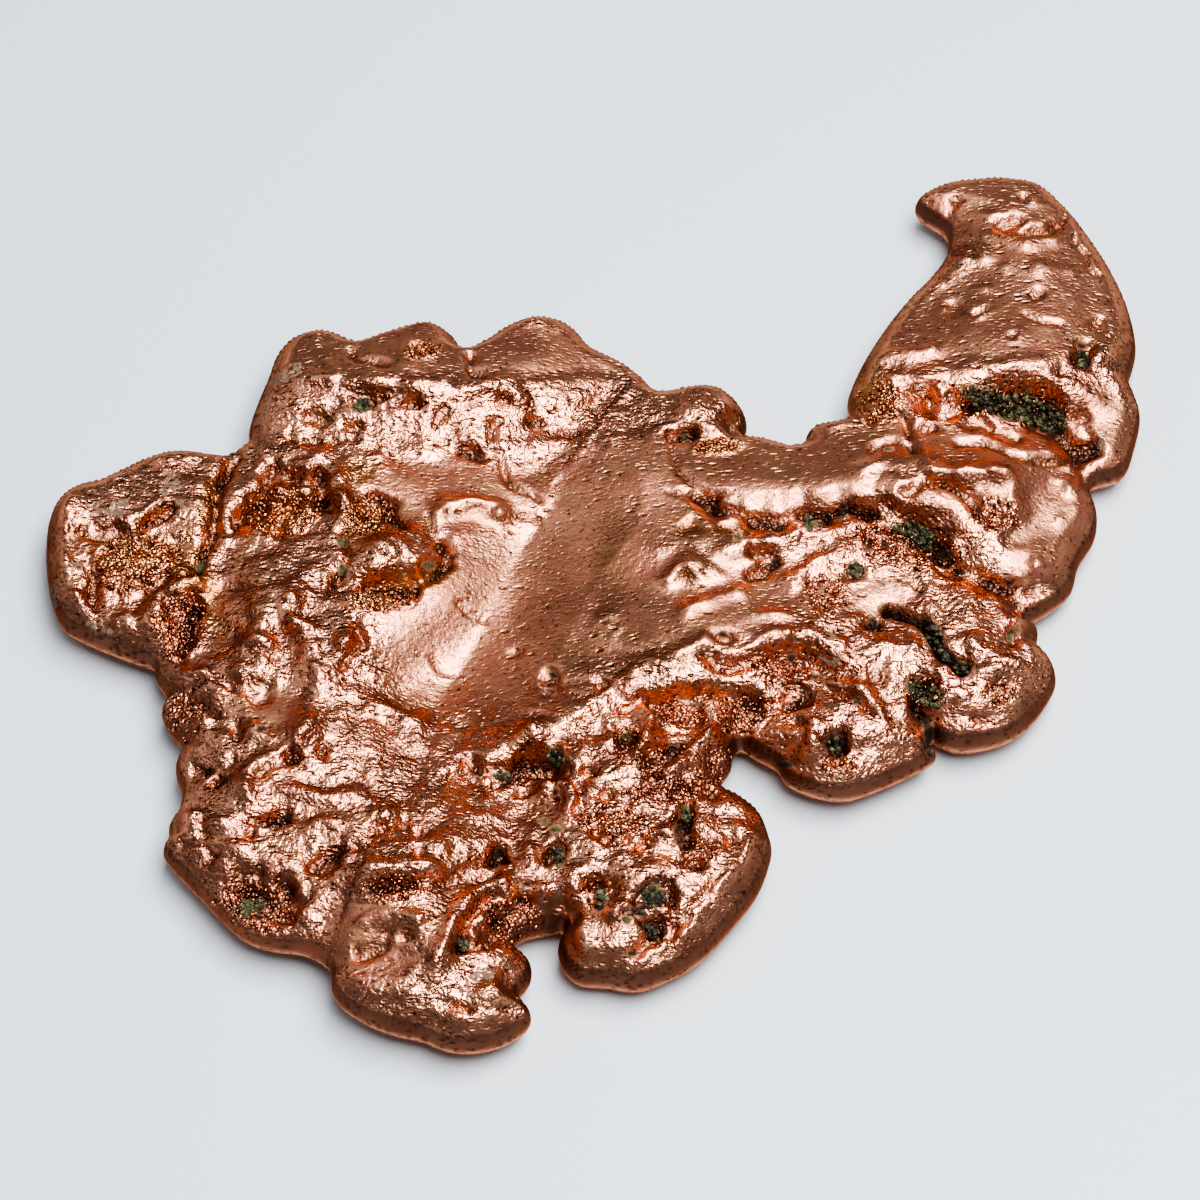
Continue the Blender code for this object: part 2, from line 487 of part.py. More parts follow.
def sheet_height(x, y):
    """Return the height of the edge's widest line."""
    return EDGE_BELOW + clearance(x, y)


def foot_drop(x, y):
    """Return how far the underside reaches down at the feet."""
    drop = np.zeros(x.shape)
    for cx, cy, reach in FEET:
        drop = np.maximum(drop, np.exp(-((x - cx) ** 2 + (y - cy) ** 2) / reach ** 2))
    return drop * (clearance(x, y) + FOOT_DEPTH)


# ---- building the solid ----

def slab(outline):
    """Return the outline as a flat slab, evenly remeshed."""
    mesh = bpy.data.meshes.new("copper_nugget")
    shape = bmesh.new()
    base = [shape.verts.new((x * MM, y * MM, -SLAB_HALF_THICKNESS * MM)) for x, y in outline]
    face = shape.faces.new(base)
    raised = bmesh.ops.extrude_face_region(shape, geom=[face])
    top = [item for item in raised["geom"] if isinstance(item, bmesh.types.BMVert)]
    bmesh.ops.translate(shape, verts=top, vec=(0, 0, 2 * SLAB_HALF_THICKNESS * MM))
    bmesh.ops.recalc_face_normals(shape, faces=shape.faces)
    shape.to_mesh(mesh)
    shape.free()
    nugget = bpy.data.objects.new("copper_nugget", mesh)
    bpy.context.scene.collection.objects.link(nugget)
    remesh = nugget.modifiers.new("even mesh", "REMESH")
    remesh.mode = "VOXEL"
    remesh.voxel_size = REMESH_SIZE * MM
    remesh.adaptivity = 0.0
    keep_result(nugget)
    return nugget


def keep_result(item):
    """Put the modifiers' result in the object's own mesh."""
    graph = bpy.context.evaluated_depsgraph_get()
    graph.update()
    result = bpy.data.meshes.new_from_object(item.evaluated_get(graph), depsgraph=graph)
    item.modifiers.clear()
    item.data = result


def shaped(points, outline):
    """Return the slab's points moved to the nugget's surface, all in millimetres."""
    x, y = points[:, 0], points[:, 1]
    level = np.clip(points[:, 2] / SLAB_HALF_THICKNESS, -1, 1)
    inset, nearest = nearest_on_line(points[:, :2], outline)
    outward = outward_normals(outline)[nearest]

    # The square edge becomes a round one, by a square-to-disc mapping.
    outness = np.clip(1 - inset / EDGE_ROUNDNESS, 0, 1)
    round_out = outness * np.sqrt(1 - level ** 2 / 2)
    round_level = level * np.sqrt(1 - outness ** 2 / 2)
    drawn_in = (outness - round_out) * EDGE_ROUNDNESS
    x = x - outward[:, 0] * drawn_in
    y = y - outward[:, 1] * drawn_in

    inside = fade(inset, 0, BODY_SWELL_REACH)
    half = EDGE_ABOVE + BODY_SWELL * inside
    middle = sheet_height(x, y)
    upper = np.clip(round_level, 0, 1)
    lower = np.clip(-round_level, 0, 1)

    # A point of the face is drawn further back the higher it lies.
    broad = np.zeros(x.shape)
    for _ in range(4):
        face_y = y + LEAN * (half + broad)
        broad = broad_relief(x, face_y)
    share = RELIEF_AT_EDGE + (1 - RELIEF_AT_EDGE) * fade(inset, 0, RELIEF_FULL_INSET)
    top = half + (broad + fine_relief(x, face_y)) * share
    belly = underside_relief(x, y) * fade(inset, 0.5, 4.0) + foot_drop(x, y)
    z = middle + upper * top - lower * (EDGE_BELOW + belly)
    y = y - LEAN * (middle - DRAWN_HEIGHT)
    return np.stack((x, y, np.maximum(z, 0)), axis=1)


def sit_at_origin(nugget):
    """Flatten the feet and move the mesh so that its box stands on the origin."""
    corners = np.empty(len(nugget.data.vertices) * 3)
    nugget.data.vertices.foreach_get("co", corners)
    corners = corners.reshape(-1, 3)
    corners[corners[:, 2] < FOOT_BAND * MM, 2] = 0
    low, high = corners.min(axis=0), corners.max(axis=0)
    middle = (low + high) / 2
    corners -= (middle[0], middle[1], 0)
    nugget.data.vertices.foreach_set("co", corners.ravel())
    nugget.data.update()


def copper():
    material = bpy.data.materials.new("copper")
    material.use_nodes = True
    surface = material.node_tree.nodes["Principled BSDF"]
    surface.inputs["Base Color"].default_value = (0.68, 0.27, 0.17, 1)
    surface.inputs["Metallic"].default_value = 1.0
    surface.inputs["Roughness"].default_value = 0.32
    return material


def build_nugget():
    outline = trimmed_outline()
    nugget = slab(outline)
    points = np.empty(len(nugget.data.vertices) * 3)
    nugget.data.vertices.foreach_get("co", points)
    moved = shaped(points.reshape(-1, 3) / MM, outline) * MM
    nugget.data.vertices.foreach_set("co", moved.ravel())
    nugget.data.update()
    thinning = nugget.modifiers.new("fewer faces", "DECIMATE")
    faces = sum(len(face.vertices) - 2 for face in nugget.data.polygons)
    thinning.ratio = TRIANGLES / faces
    keep_result(nugget)
    sit_at_origin(nugget)
    nugget.data.materials.clear()
    nugget.data.materials.append(copper())
    nugget.data.shade_smooth()
    return nugget


clear_scene()
build_nugget()
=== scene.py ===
import math
import random

import bmesh
import bpy
import numpy as np
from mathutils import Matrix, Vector
from mathutils.bvhtree import BVHTree


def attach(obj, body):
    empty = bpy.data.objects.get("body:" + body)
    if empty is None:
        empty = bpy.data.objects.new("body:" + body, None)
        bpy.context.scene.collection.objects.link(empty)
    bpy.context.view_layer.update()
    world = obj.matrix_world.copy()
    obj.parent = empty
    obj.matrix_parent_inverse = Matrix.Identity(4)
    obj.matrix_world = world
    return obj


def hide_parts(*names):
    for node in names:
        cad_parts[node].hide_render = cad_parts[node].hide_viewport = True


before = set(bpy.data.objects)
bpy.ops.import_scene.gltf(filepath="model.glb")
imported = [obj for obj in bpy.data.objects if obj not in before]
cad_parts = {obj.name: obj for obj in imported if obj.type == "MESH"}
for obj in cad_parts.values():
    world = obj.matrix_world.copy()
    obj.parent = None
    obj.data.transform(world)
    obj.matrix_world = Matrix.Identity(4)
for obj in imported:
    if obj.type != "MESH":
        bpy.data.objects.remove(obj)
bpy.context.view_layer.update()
mm = 0.001


# camera, lights and floor

view = {
    "aim": (0.0, -2.0, 4.0),     # mm
    "elevation": 54.0,
    "distance": 420.0,
    "lens": 137.34,              # mm, behind a sensor this wide
    "sensor": 36.0,
}


def addCamera():
    data = bpy.data.cameras.new("camera")
    data.lens = view["lens"]
    data.sensor_width = view["sensor"]
    camera = bpy.data.objects.new("camera", data)
    bpy.context.scene.collection.objects.link(camera)
    tilt = math.radians(view["elevation"])
    aim = Vector(view["aim"]) * mm
    back = Vector((0, -math.cos(tilt), math.sin(tilt)))
    camera.location = aim + back * (view["distance"] * mm)
    camera.rotation_euler = (math.radians(90.0 - view["elevation"]), 0, 0)
    bpy.context.scene.camera = camera


addCamera()

studio = {
    "worldLow": (0.03, 0.03, 0.03),      # the room near the horizon
    "worldHigh": (0.60, 0.63, 0.67),
    "worldTop": 0.9,                     # where the room reaches its brightest
    "worldStrength": 0.42,
    "overheadPower": 4.8,
    "overheadSize": (0.50, 0.27),
    "overheadPlace": (0.12, -0.03, 0.46),
    "sidePower": 0.25,
    "sideSize": (0.34, 0.34),
    "sidePlace": (-0.42, 0.20, 0.36),
    "floorHalf": 1.5,                    # metres
    "floorColor": (0.60, 0.655, 0.71),
    "floorRoughness": 0.45,
}


def addWorld():
    world = bpy.data.worlds.new("softRoom")
    bpy.context.scene.world = world
    world.use_nodes = True
    nodes, links = world.node_tree.nodes, world.node_tree.links
    nodes.clear()
    out = nodes.new("ShaderNodeOutputWorld")
    background = nodes.new("ShaderNodeBackground")
    background.inputs["Strength"].default_value = studio["worldStrength"]
    place = nodes.new("ShaderNodeTexCoord")
    split = nodes.new("ShaderNodeSeparateXYZ")
    ramp = nodes.new("ShaderNodeValToRGB")
    ramp.color_ramp.elements[0].position = 0.0
    ramp.color_ramp.elements[0].color = (*studio["worldLow"], 1)
    ramp.color_ramp.elements[1].position = studio["worldTop"]
    ramp.color_ramp.elements[1].color = (*studio["worldHigh"], 1)
    links.new(place.outputs["Generated"], split.inputs[0])
    links.new(split.outputs["Z"], ramp.inputs["Fac"])
    links.new(ramp.outputs["Color"], background.inputs["Color"])
    links.new(background.outputs[0], out.inputs["Surface"])


def addLight(name, place, size, power):
    data = bpy.data.lights.new(name, "AREA")
    data.shape = "RECTANGLE"
    data.size, data.size_y = size
    data.energy = power
    lamp = bpy.data.objects.new(name, data)
    bpy.context.scene.collection.objects.link(lamp)
    lamp.location = place
    # every lamp points at the nugget
    lamp.rotation_euler = (-Vector(place)).to_track_quat("-Z", "Y").to_euler()


def addFloor():
    shape = bmesh.new()
    bmesh.ops.create_grid(shape, x_segments=1, y_segments=1, size=studio["floorHalf"])
    mesh = bpy.data.meshes.new("floor")
    shape.to_mesh(mesh)
    shape.free()
    floor = bpy.data.objects.new("floor", mesh)
    bpy.context.scene.collection.objects.link(floor)
    material = bpy.data.materials.new("paleFloor")
    material.use_nodes = True
    surface = material.node_tree.nodes["Principled BSDF"]
    surface.inputs["Base Color"].default_value = (*studio["floorColor"], 1)
    surface.inputs["Roughness"].default_value = studio["floorRoughness"]
    mesh.materials.append(material)


bpy.context.scene.view_settings.view_transform = "AgX"
bpy.context.scene.view_settings.look = "AgX - High Contrast"
addWorld()
addLight("overhead", studio["overheadPlace"], studio["overheadSize"], studio["overheadPower"])
addLight("side", studio["sidePlace"], studio["sideSize"], studio["sidePower"])
addFloor()
print("stage is set")


# the nugget's shape, in millimetres

sheet = {
    "edgeAbove": 2.4,           # the metal's thickness at the edge, above and below its widest line
    "edgeBelow": 1.8,
    "edgeRound": 2.1,
    "slabHalf": 2.5,
    "bodySwell": 1.3,
    "bodySwellReach": 9.0,
    "clearance": 1.2,
    "warp": 0.8,
    "warpSize": 22.0,
    "footDepth": 0.6,
    "lean": 0.727,              # how far the drawing leans back for each mm of height
    "drawnHeight": 4.0,
    "trimBack": -0.1,
    "trimFront": 0.27,
    "outlineStep": 0.6,
    "meshSize": 0.29,
    "triangles": 194000,
    "topThinning": 0.15,
    "underLevel": -1.0,         # points of the slab below this count as its underside
}

outline = (
    # ear
    (-34.7, 14.7), (-36.8, 15), (-38.6, 15.25), (-40.4, 15.1), (-42.4, 14.3), (-44.4, 13.15),
    (-46.5, 11.9), (-48.4, 11.3), (-50, 9.9), (-50.9, 7.6), (-51.05, 5), (-50.85, 2), (-50.2, -1.5),
    (-49.1, -4.3), (-47.5, -5.7), (-45, -7), (-42.2, -8.3), (-40.4, -9),
    # left side
    (-40, -10.6), (-38.9, -12.5), (-39.35, -14), (-38.6, -16.2), (-37.2, -17.9), (-37.7, -19.6),
    (-37.6, -21.2), (-37, -22.8), (-37.2, -24.9), (-37.95, -26.3), (-37.9, -27.8), (-38.4, -29),
    (-37.4, -30.8), (-35.2, -33.3), (-32.6, -36.3), (-30.6, -38.1), (-28.2, -39), (-25.3, -39.5),
    (-23.2, -41),
    # bottom left lobe
    (-23, -42.9), (-22.1, -44.7), (-20, -46.3), (-17.6, -47.4), (-15, -48.1), (-12.8, -49.15),
    (-10.5, -49.3), (-8, -48.6), (-6.1, -47.2), (-5.7, -45.6), (-6.8, -44), (-5.8, -42.5),
    (-5.8, -40.6), (-7.3, -38.9), (-6.4, -37.9), (-4.4, -37.4), (-2.8, -37.2),
    # bottom middle lobe
    (-3.4, -38.9), (-3, -41), (-1.6, -42.5), (0.8, -42.8), (3.4, -43.2), (6, -42.2), (9, -40.2),
    (11.8, -36.8), (14.2, -33.2), (15.4, -29.4), (15.2, -27.3), (14.4, -25.1), (12.7, -23.4),
    (11, -22.1), (12, -20.2), (12.3, -18.6), (13, -17.95),
    # two lobes at the lower right, parted by a slit
    (14.4, -19), (16, -20), (16.8, -21.5), (19, -22.8), (22, -23.35), (24.8, -22.4), (28.6, -20.4),
    (30.5, -18.8), (30, -17.9), (29.8, -16.6), (30.8, -17.4), (32.2, -18), (34.4, -17.9),
    (37.2, -16.9), (39.3, -15.1), (40.9, -12.7), (41.7, -10.6), (41.2, -8.4), (40.1, -6.8),
    (40.3, -5.1), (38.9, -4.35),
    # right side
    (40.2, -3.7), (42.2, -2.2), (43.8, -0.4), (44.6, 2.5), (46.2, 5.4), (46.6, 8.2), (46.2, 11.4),
    # horn, outer side and tip
    (48, 12.2), (49.6, 13.2), (50.6, 16), (51.4, 19.6), (51, 22.2), (50.6, 24), (51.2, 26),
    (51.6, 28.4), (51.2, 32.4), (50.3, 36), (48.8, 39.8), (47, 43.6), (45.2, 46.4), (43.4, 48.4),
    (41.2, 49.1), (38, 49.2), (34.8, 48.7), (32.2, 47.4), (31.1, 46), (32, 44.5), (34, 42.8),
    # horn, inner side
    (34.1, 40.3), (33.4, 38.5), (31.9, 36.2), (30, 33.9), (28.1, 31.1), (25.7, 26.8), (24.3, 23.6),
    (23.7, 21.4), (24.1, 19.6),
    # bay and the small lobe beside it
    (22.6, 18.8), (20.8, 18.4), (19.7, 17.4), (19.6, 16.4), (18.2, 15.9), (16, 16.7), (14.4, 17),
    (13.2, 16.75), (14.1, 18.2), (14, 19.8), (12.9, 21.7), (11.2, 23), (9, 23.1), (7, 22.6),
    (5.5, 22.7),
    # upper edge
    (4.2, 24.4), (2.4, 26.1), (-0.5, 27.9), (-1.8, 29.7), (-3.6, 31.2), (-6, 31.6), (-8.4, 30.6),
    (-10.8, 28.6), (-12.7, 27.5), (-13.8, 29.2), (-15.6, 30.6), (-17.6, 30.6), (-20, 29.6),
    (-23, 28.4), (-24.8, 29.4), (-26.6, 29.85), (-29, 28.9), (-30.6, 26.8), (-31.4, 23.6),
    (-32.5, 19.8), (-32.85, 17.8), (-32.7, 16.6), (-34, 15.2),
)

# where the underside touches down: x, y, reach
feet = (
    (-43, 5, 5), (-29, -26, 6), (-14, -39, 5), (5, -32, 6), (33, -10, 5), (43, 22, 5), (38, 42, 4),
    (-20, 18, 6),
)

# broad swells and hollows: x, y, half length, half width, turn, height
swells = (
    (-15.5, 25.3, 13, 6, -3, 2.3), (2, 23.5, 7, 4, -20, 0.5), (-13.5, 4.5, 6, 9, 0, 1.6),
    (-22.5, 4, 9, 5.5, 90, 1.7), (-20.5, -5, 8, 6, 70, 1.6), (-20.5, -17, 11, 7.5, 75, 2.1),
    (-17, -31.5, 9, 6, 20, 1.6), (-14, -39, 7, 5, 0, 0.7), (-30.5, -8, 10, 5, 90, 1),
    (-31, -25, 8, 5, 90, 0.8), (3, -32.5, 8, 6.5, 30, 1.3), (2, -14, 9, 4.2, 35, 1.2),
    (14, -5, 12, 4.8, 10, 0.9), (24.5, -13.5, 7, 5, 15, 0.6), (24, -19.5, 9, 3, 15, -0.6),
    (35.5, -8.5, 6, 5, 60, 0.7), (35.5, -15, 7, 3, 15, -0.5), (-45.5, -5, 6, 3, -20, -0.5),
    (20, 1.5, 5, 3, 20, -0.4), (23, 10, 21, 9, 5, 1.5), (29, 11.5, 8, 2.8, -5, 0.9),
    (38, 10.5, 7, 6, 20, 1.2), (38, 27.5, 10, 6, 10, 1.9), (42, 38, 9, 8, 100, 0.6),
    (9.5, 20.5, 4, 2.5, 0, 0.8), (-41, 3.5, 6, 4.5, 100, -1.4), (-34.5, -2, 6, 2.5, 90, -1.1),
    (-10, -15, 6, 4.5, 58, -0.8), (-16.5, -46.5, 8, 2.6, 0, -1.3), (-24.5, -36.5, 2.6, 2.2, 0, -1),
    (8, -1, 10, 8.5, 75, 1.5), (-6.5, -24.5, 7, 3, 60, -1.4), (27.5, 5, 6, 2.8, -15, -1.1),
    (41, 20.4, 4.4, 3, -12, -1.9), (26, -4, 5, 3.5, 0, -0.6),
)

# tilted stretches: x, y, half length, half width, turn, rise for each mm along x and along y
ramps = (
    (-15.6, -5, 10, 5.4, 70, 0.03, 0.34), (-11, 9, 6, 3.6, 75, 0, 0.24),
    (-11.5, 17, 4, 4, 0, 0, 0.12), (-13, 21.5, 9, 3.4, 0, 0, -0.10),
    (-26.5, 20.5, 4, 5, 0, -0.22, 0.04), (41, 6, 5, 6, 0, 0, -0.42),
    (-17, -41.5, 7, 3.5, 0, 0, -0.35), (3, -38.5, 7, 3, 20, 0, -0.25), (-29, -35, 5, 4, 0, 0, -0.3),
    (0, 16.5, 8, 6.5, 50, 0, -0.42), (-15, -25, 6, 4, 0, 0, 0.06), (33, -1, 6, 3.2, 0, 0, -0.16),
    (9, -2, 10, 3.4, 0, 0, -0.12), (37, 16.5, 9, 2.8, 0, 0, -0.3), (5, -15.5, 9, 5.5, 0, 0, -0.06),
    (-18.5, 14.5, 4.4, 3.6, 0, 0, -0.3), (-20, -15.5, 4.5, 4, 0, 0, -0.14),
    (-2.5, -34, 3, 4, 0, -0.4, -0.1), (-8, -25, 3, 3, 0, 0, -0.2), (20, -1, 14, 3.5, 0, 0, -0.14),
    (27, -4.5, 3.6, 3, 0, 0, -0.3), (-26.5, -22, 4, 6.5, 0, 0, 0.14), (12.5, -30, 3, 4, 0, 0, -0.2),
    (24, 2.5, 7, 4.5, 0, 0, -0.2), (-5.5, 12.5, 3, 3, 0, 0, -0.25), (16, 8.5, 3, 1.8, 0, 0, -0.2),
    (5, 8, 3, 4, 0, 0, -0.12), (38.5, 3, 3, 3, 0, 0, -0.25), (44, 11, 3, 3, 0, 0, -0.3),
    (-32, 3, 4, 3, 0, 0, -0.25), (-27, -12, 4.5, 3, 0, 0, -0.25), (-24, -36, 3, 3, 0, 0, -0.2),
    (9.5, -34, 6, 3, 45, 0, 0.16), (28, 9.5, 6, 2.4, -25, 0, 0.14), (37.5, 13, 5, 3, 0, 0, 0.14),
    (37, 37, 6, 5, 0, 0, 0.08), (30.5, 26, 4, 4, 0, -0.28, 0.05), (8, -14, 5, 4, 0, 0.25, -0.1),
)

# long troughs: distance right of the bottom line and depth there, then the line's points
troughs = (
    (((-20, 0), (-9, 1.1), (0, 2.2), (1.2, 2.3), (9, 0)),
     ((-17.2, -19), (-15.4, -13), (-12.8, -7), (-10.4, 0), (-7.6, 6), (-4.6, 11))),
)

# ridges: half width, height, then the crest's points
ridges = (
    # ear
    (1.3, 1.5, ((-49, 9.5), (-50, 6), (-49.6, 1), (-48.6, -3.2), (-46, -5.2),
                (-43.5, -5.3), (-41.3, -4), (-40, -1.5), (-38.5, 0), (-36.5, 0.4))),
    (0.8, 0.8, ((-46.2, -3.3), (-45.6, -4.8), (-44.3, -4.9), (-42.8, -3))),
    (0.9, 1.2, ((-40, -9.9), (-38, -9.5), (-36, -9.6))),
    (0.6, 0.7, ((-44, 8), (-41.5, 8.6), (-40, 9.6))),
    # left body
    (1.2, 0.9, ((-32.5, 11), (-31.5, 13.3), (-30, 15), (-28.5, 14.8), (-27, 14.1),
                (-25.8, 14.9), (-24.5, 13), (-23.5, 10.5), (-23.3, 8))),
    (1.5, 1.6, ((-29.3, -0.8), (-29.8, -3.5), (-30.5, -6.5))),
    (1.2, 1.3, ((-26.8, -4.5), (-25.6, -8), (-25, -11))),
    (0.9, 0.9, ((-27, -4.5), (-28.2, -3), (-27.6, -1.6))),
    (1, 1.1, ((-31, -22), (-30.5, -20), (-29.5, -18.8), (-28, -18))),
    (1.3, 1.3, ((-36.3, -30), (-34.5, -33.5), (-32.5, -36.5), (-28.5, -37.8), (-25.5, -38.2))),
    (0.8, 0.9, ((-21, -11), (-19.5, -13), (-17, -14.3), (-16, -15.5))),
    (0.9, 0.8, ((-27, -21.5), (-25, -22.5), (-22.5, -22), (-20.5, -23))),
    (0.9, 0.8, ((-26, -27), (-24, -25.5), (-21.5, -25.5), (-18.5, -24.2))),
    (1, 0.8, ((-35.5, -15), (-34, -13), (-34.5, -10.5))),
    (0.8, 0.7, ((-33.5, -18.5), (-31.5, -17.5), (-30.5, -15.5), (-31.5, -13.8))),
    # bottom left lobe
    (1.2, 1.5, ((-8.5, -31.6), (-10.5, -33), (-12, -35), (-13.3, -37), (-13.8, -39.5))),
    (1, 0.9, ((-20.5, -31), (-19, -29.8), (-16.5, -29.6), (-14, -30))),
    (1.2, 1, ((-22, -43.3), (-20, -43.8), (-18.8, -44.8), (-15, -45.2), (-13, -45.8),
                (-10, -46), (-7, -45.6))),
    (0.9, 0.9, ((-9.8, -41.8), (-9.2, -43), (-7.4, -42.6), (-6.8, -41))),
    (0.9, 0.7, ((-22, -37), (-20.5, -35), (-18, -34.3), (-16, -35))),
    # bottom middle lobe
    (1.2, 1.6, ((0.5, -41), (3, -40.7), (5, -39.8), (7.5, -38.3), (9.5, -36),
                (11.5, -33.5), (13, -31), (14, -28.2))),
    (1, 1, ((-1.8, -36.5), (-2, -34), (-1.6, -31), (-0.4, -29.5))),
    (0.7, 0.6, ((1.5, -35), (2.6, -33.8), (4, -34.6))),
    # centre and lower right
    (1.2, 0.6, ((-10, -18.8), (-8, -17.5), (-6, -15.9), (-4.5, -15.3), (-2.5, -13.8),
                (0, -11.9), (2, -10.8), (6, -10.5), (10, -10.3), (14.5, -10.9))),
    (0.9, 1.1, ((-6, -15.9), (-3.6, -17.2), (-2.4, -19), (-3.2, -20.6), (-2.6, -23))),
    (1, 1.2, ((10.5, -12.5), (10.3, -14.5), (9.2, -17), (8.6, -18.5), (6.6, -20.4))),
    (1, 1.2, ((4.5, -13), (4.3, -15), (4, -17.5), (3.2, -19.5), (0.5, -20.6))),
    (0.8, 0.9, ((10.5, -16.2), (12.5, -15.8), (14.5, -16.1))),
    (1.2, 0.8, ((11.5, -7.5), (14, -6.8), (16, -5.5), (19, -5), (21.5, -6.5),
                (22.5, -8.5), (23, -10.5), (24.5, -13))),
    (0.8, 0.8, ((7, -7.2), (9.5, -5.6))),
    (0.7, 0.6, ((3, -9), (5, -8.2), (7.2, -8.6))),
    (0.8, 0.8, ((8, -2.5), (10.8, -0.3), (13, 0))),
    (0.9, 1, ((6, 1.5), (8, 2.8), (10.3, 2.3))),
    (1, 0.8, ((8, 2.9), (11, 4), (14.5, 5.5), (17.5, 6.2), (20, 7.4))),
    (0.9, 0.9, ((18, 1), (19.5, 2), (21.3, 4), (23.5, 5.2))),
    (0.9, 0.9, ((12.2, 8.8), (13.6, 9.3))),
    # lobes at the lower right
    (1.1, 0.7, ((24.5, -5.5), (27, -7), (29.5, -9), (31, -10), (32.3, -12))),
    (0.9, 1.1, ((30.8, -15.2), (33, -15.9), (35.5, -15.8), (37.5, -14.2), (38.6, -11.5))),
    (1, 0.9, ((34.3, -6), (36, -7.5), (38.3, -8.7))),
    (0.8, 0.9, ((38.5, -3.3), (40.3, -1.8), (42, 0.6))),
    (1, 0.9, ((18.8, -15), (18.6, -17.5), (18.9, -20.5), (21.5, -21.4), (24.5, -20.4))),
    # right body
    (1, 1, ((30.6, 13.8), (33, 13.4), (35.8, 13.6), (38.5, 11.8), (39, 9.5))),
    (0.9, 0.7, ((24.5, 14.2), (28, 14.9), (31.5, 15.2))),
    # horn
    (1.2, 0.7, ((28, 24.5), (31, 25), (34, 25.7), (38, 26), (41.5, 25.7),
                (43, 24), (45, 22.5), (47, 22.2))),
    (0.9, 0.8, ((26.5, 27.3), (29, 28), (31.5, 28.3))),
    (1, 0.7, ((34.8, 42), (35.6, 41.3), (36.6, 40.4))),
    (0.8, 0.45, ((38, 42.6), (41, 41.6), (44, 42), (45.6, 43.8))),
    # upper body
    (0.9, 1, ((-14.5, 9), (-13.8, 10.3), (-11.5, 10.5), (-9.5, 10.2), (-9.3, 9))),
    (1.1, 0.5, ((-27, 24.3), (-24.5, 24.8), (-20, 23.6), (-15, 23.3), (-12, 23.1),
                (-8, 23.1), (-5, 21.8), (-2, 22.4))),
    (0.7, 0.6, ((-8.3, 22.3), (-6.8, 21.6), (-6.4, 20.4))),
    (0.8, 0.9, ((6.3, 18.7), (9.5, 18.9), (13, 18.4))),
)

# lips that overlook a hollow on the right of the path: reach, drop, then the path's points
lips = (
    (1.5, 1.8, ((13, 11.6), (17, 11.4), (22, 12), (24.5, 12.2), (26.5, 12.8),
    (28.2, 12), (29.6, 10.7), (31.2, 10), (32.5, 8.6), (33.2, 6.6), (34.6, 5),
                (36.4, 3.8), (38.6, 3))),
    (2, 1, ((-10, -18.2), (-6.5, -15.4), (-3, -12.9), (0, -10.6), (4, -9.4),
                (10, -9.2), (15, -9.9))),
    (0.9, 1.8, ((-33, 9.5), (-32.6, 12), (-31.4, 14.2), (-30, 15.5), (-28.5, 15.2),
                (-27, 14.5), (-25.8, 15.3), (-24.3, 13.4), (-23.4, 10.5))),
    (1.5, 1.9, ((33.2, 24.2), (36.5, 24.9), (40, 24.9), (42.6, 23.8),
                (44.4, 22), (45.6, 19.6))),
    (0.8, 1.2, ((-22.3, 2.2), (-20.5, 1.9), (-17.8, 1.8), (-16.2, 2.8), (-15.2, 4.6))),
    (1, 1.1, ((11.5, -6.6), (14, -6), (17, -5.6), (20, -6.2), (21.6, -7.8))),
    (0.9, 1.2, ((-9.8, -18), (-7.5, -17.2), (-5.2, -16.2), (-3.3, -16.8), (-2.6, -18.6))),
)

# across a lip: distance as a share of its reach, and share of its drop
lipProfile = ((-0.8, 0.0), (0.0, 0.06), (0.95, 0.42), (1.3, 1.0), (1.9, 0.92), (3.4, 0.0))

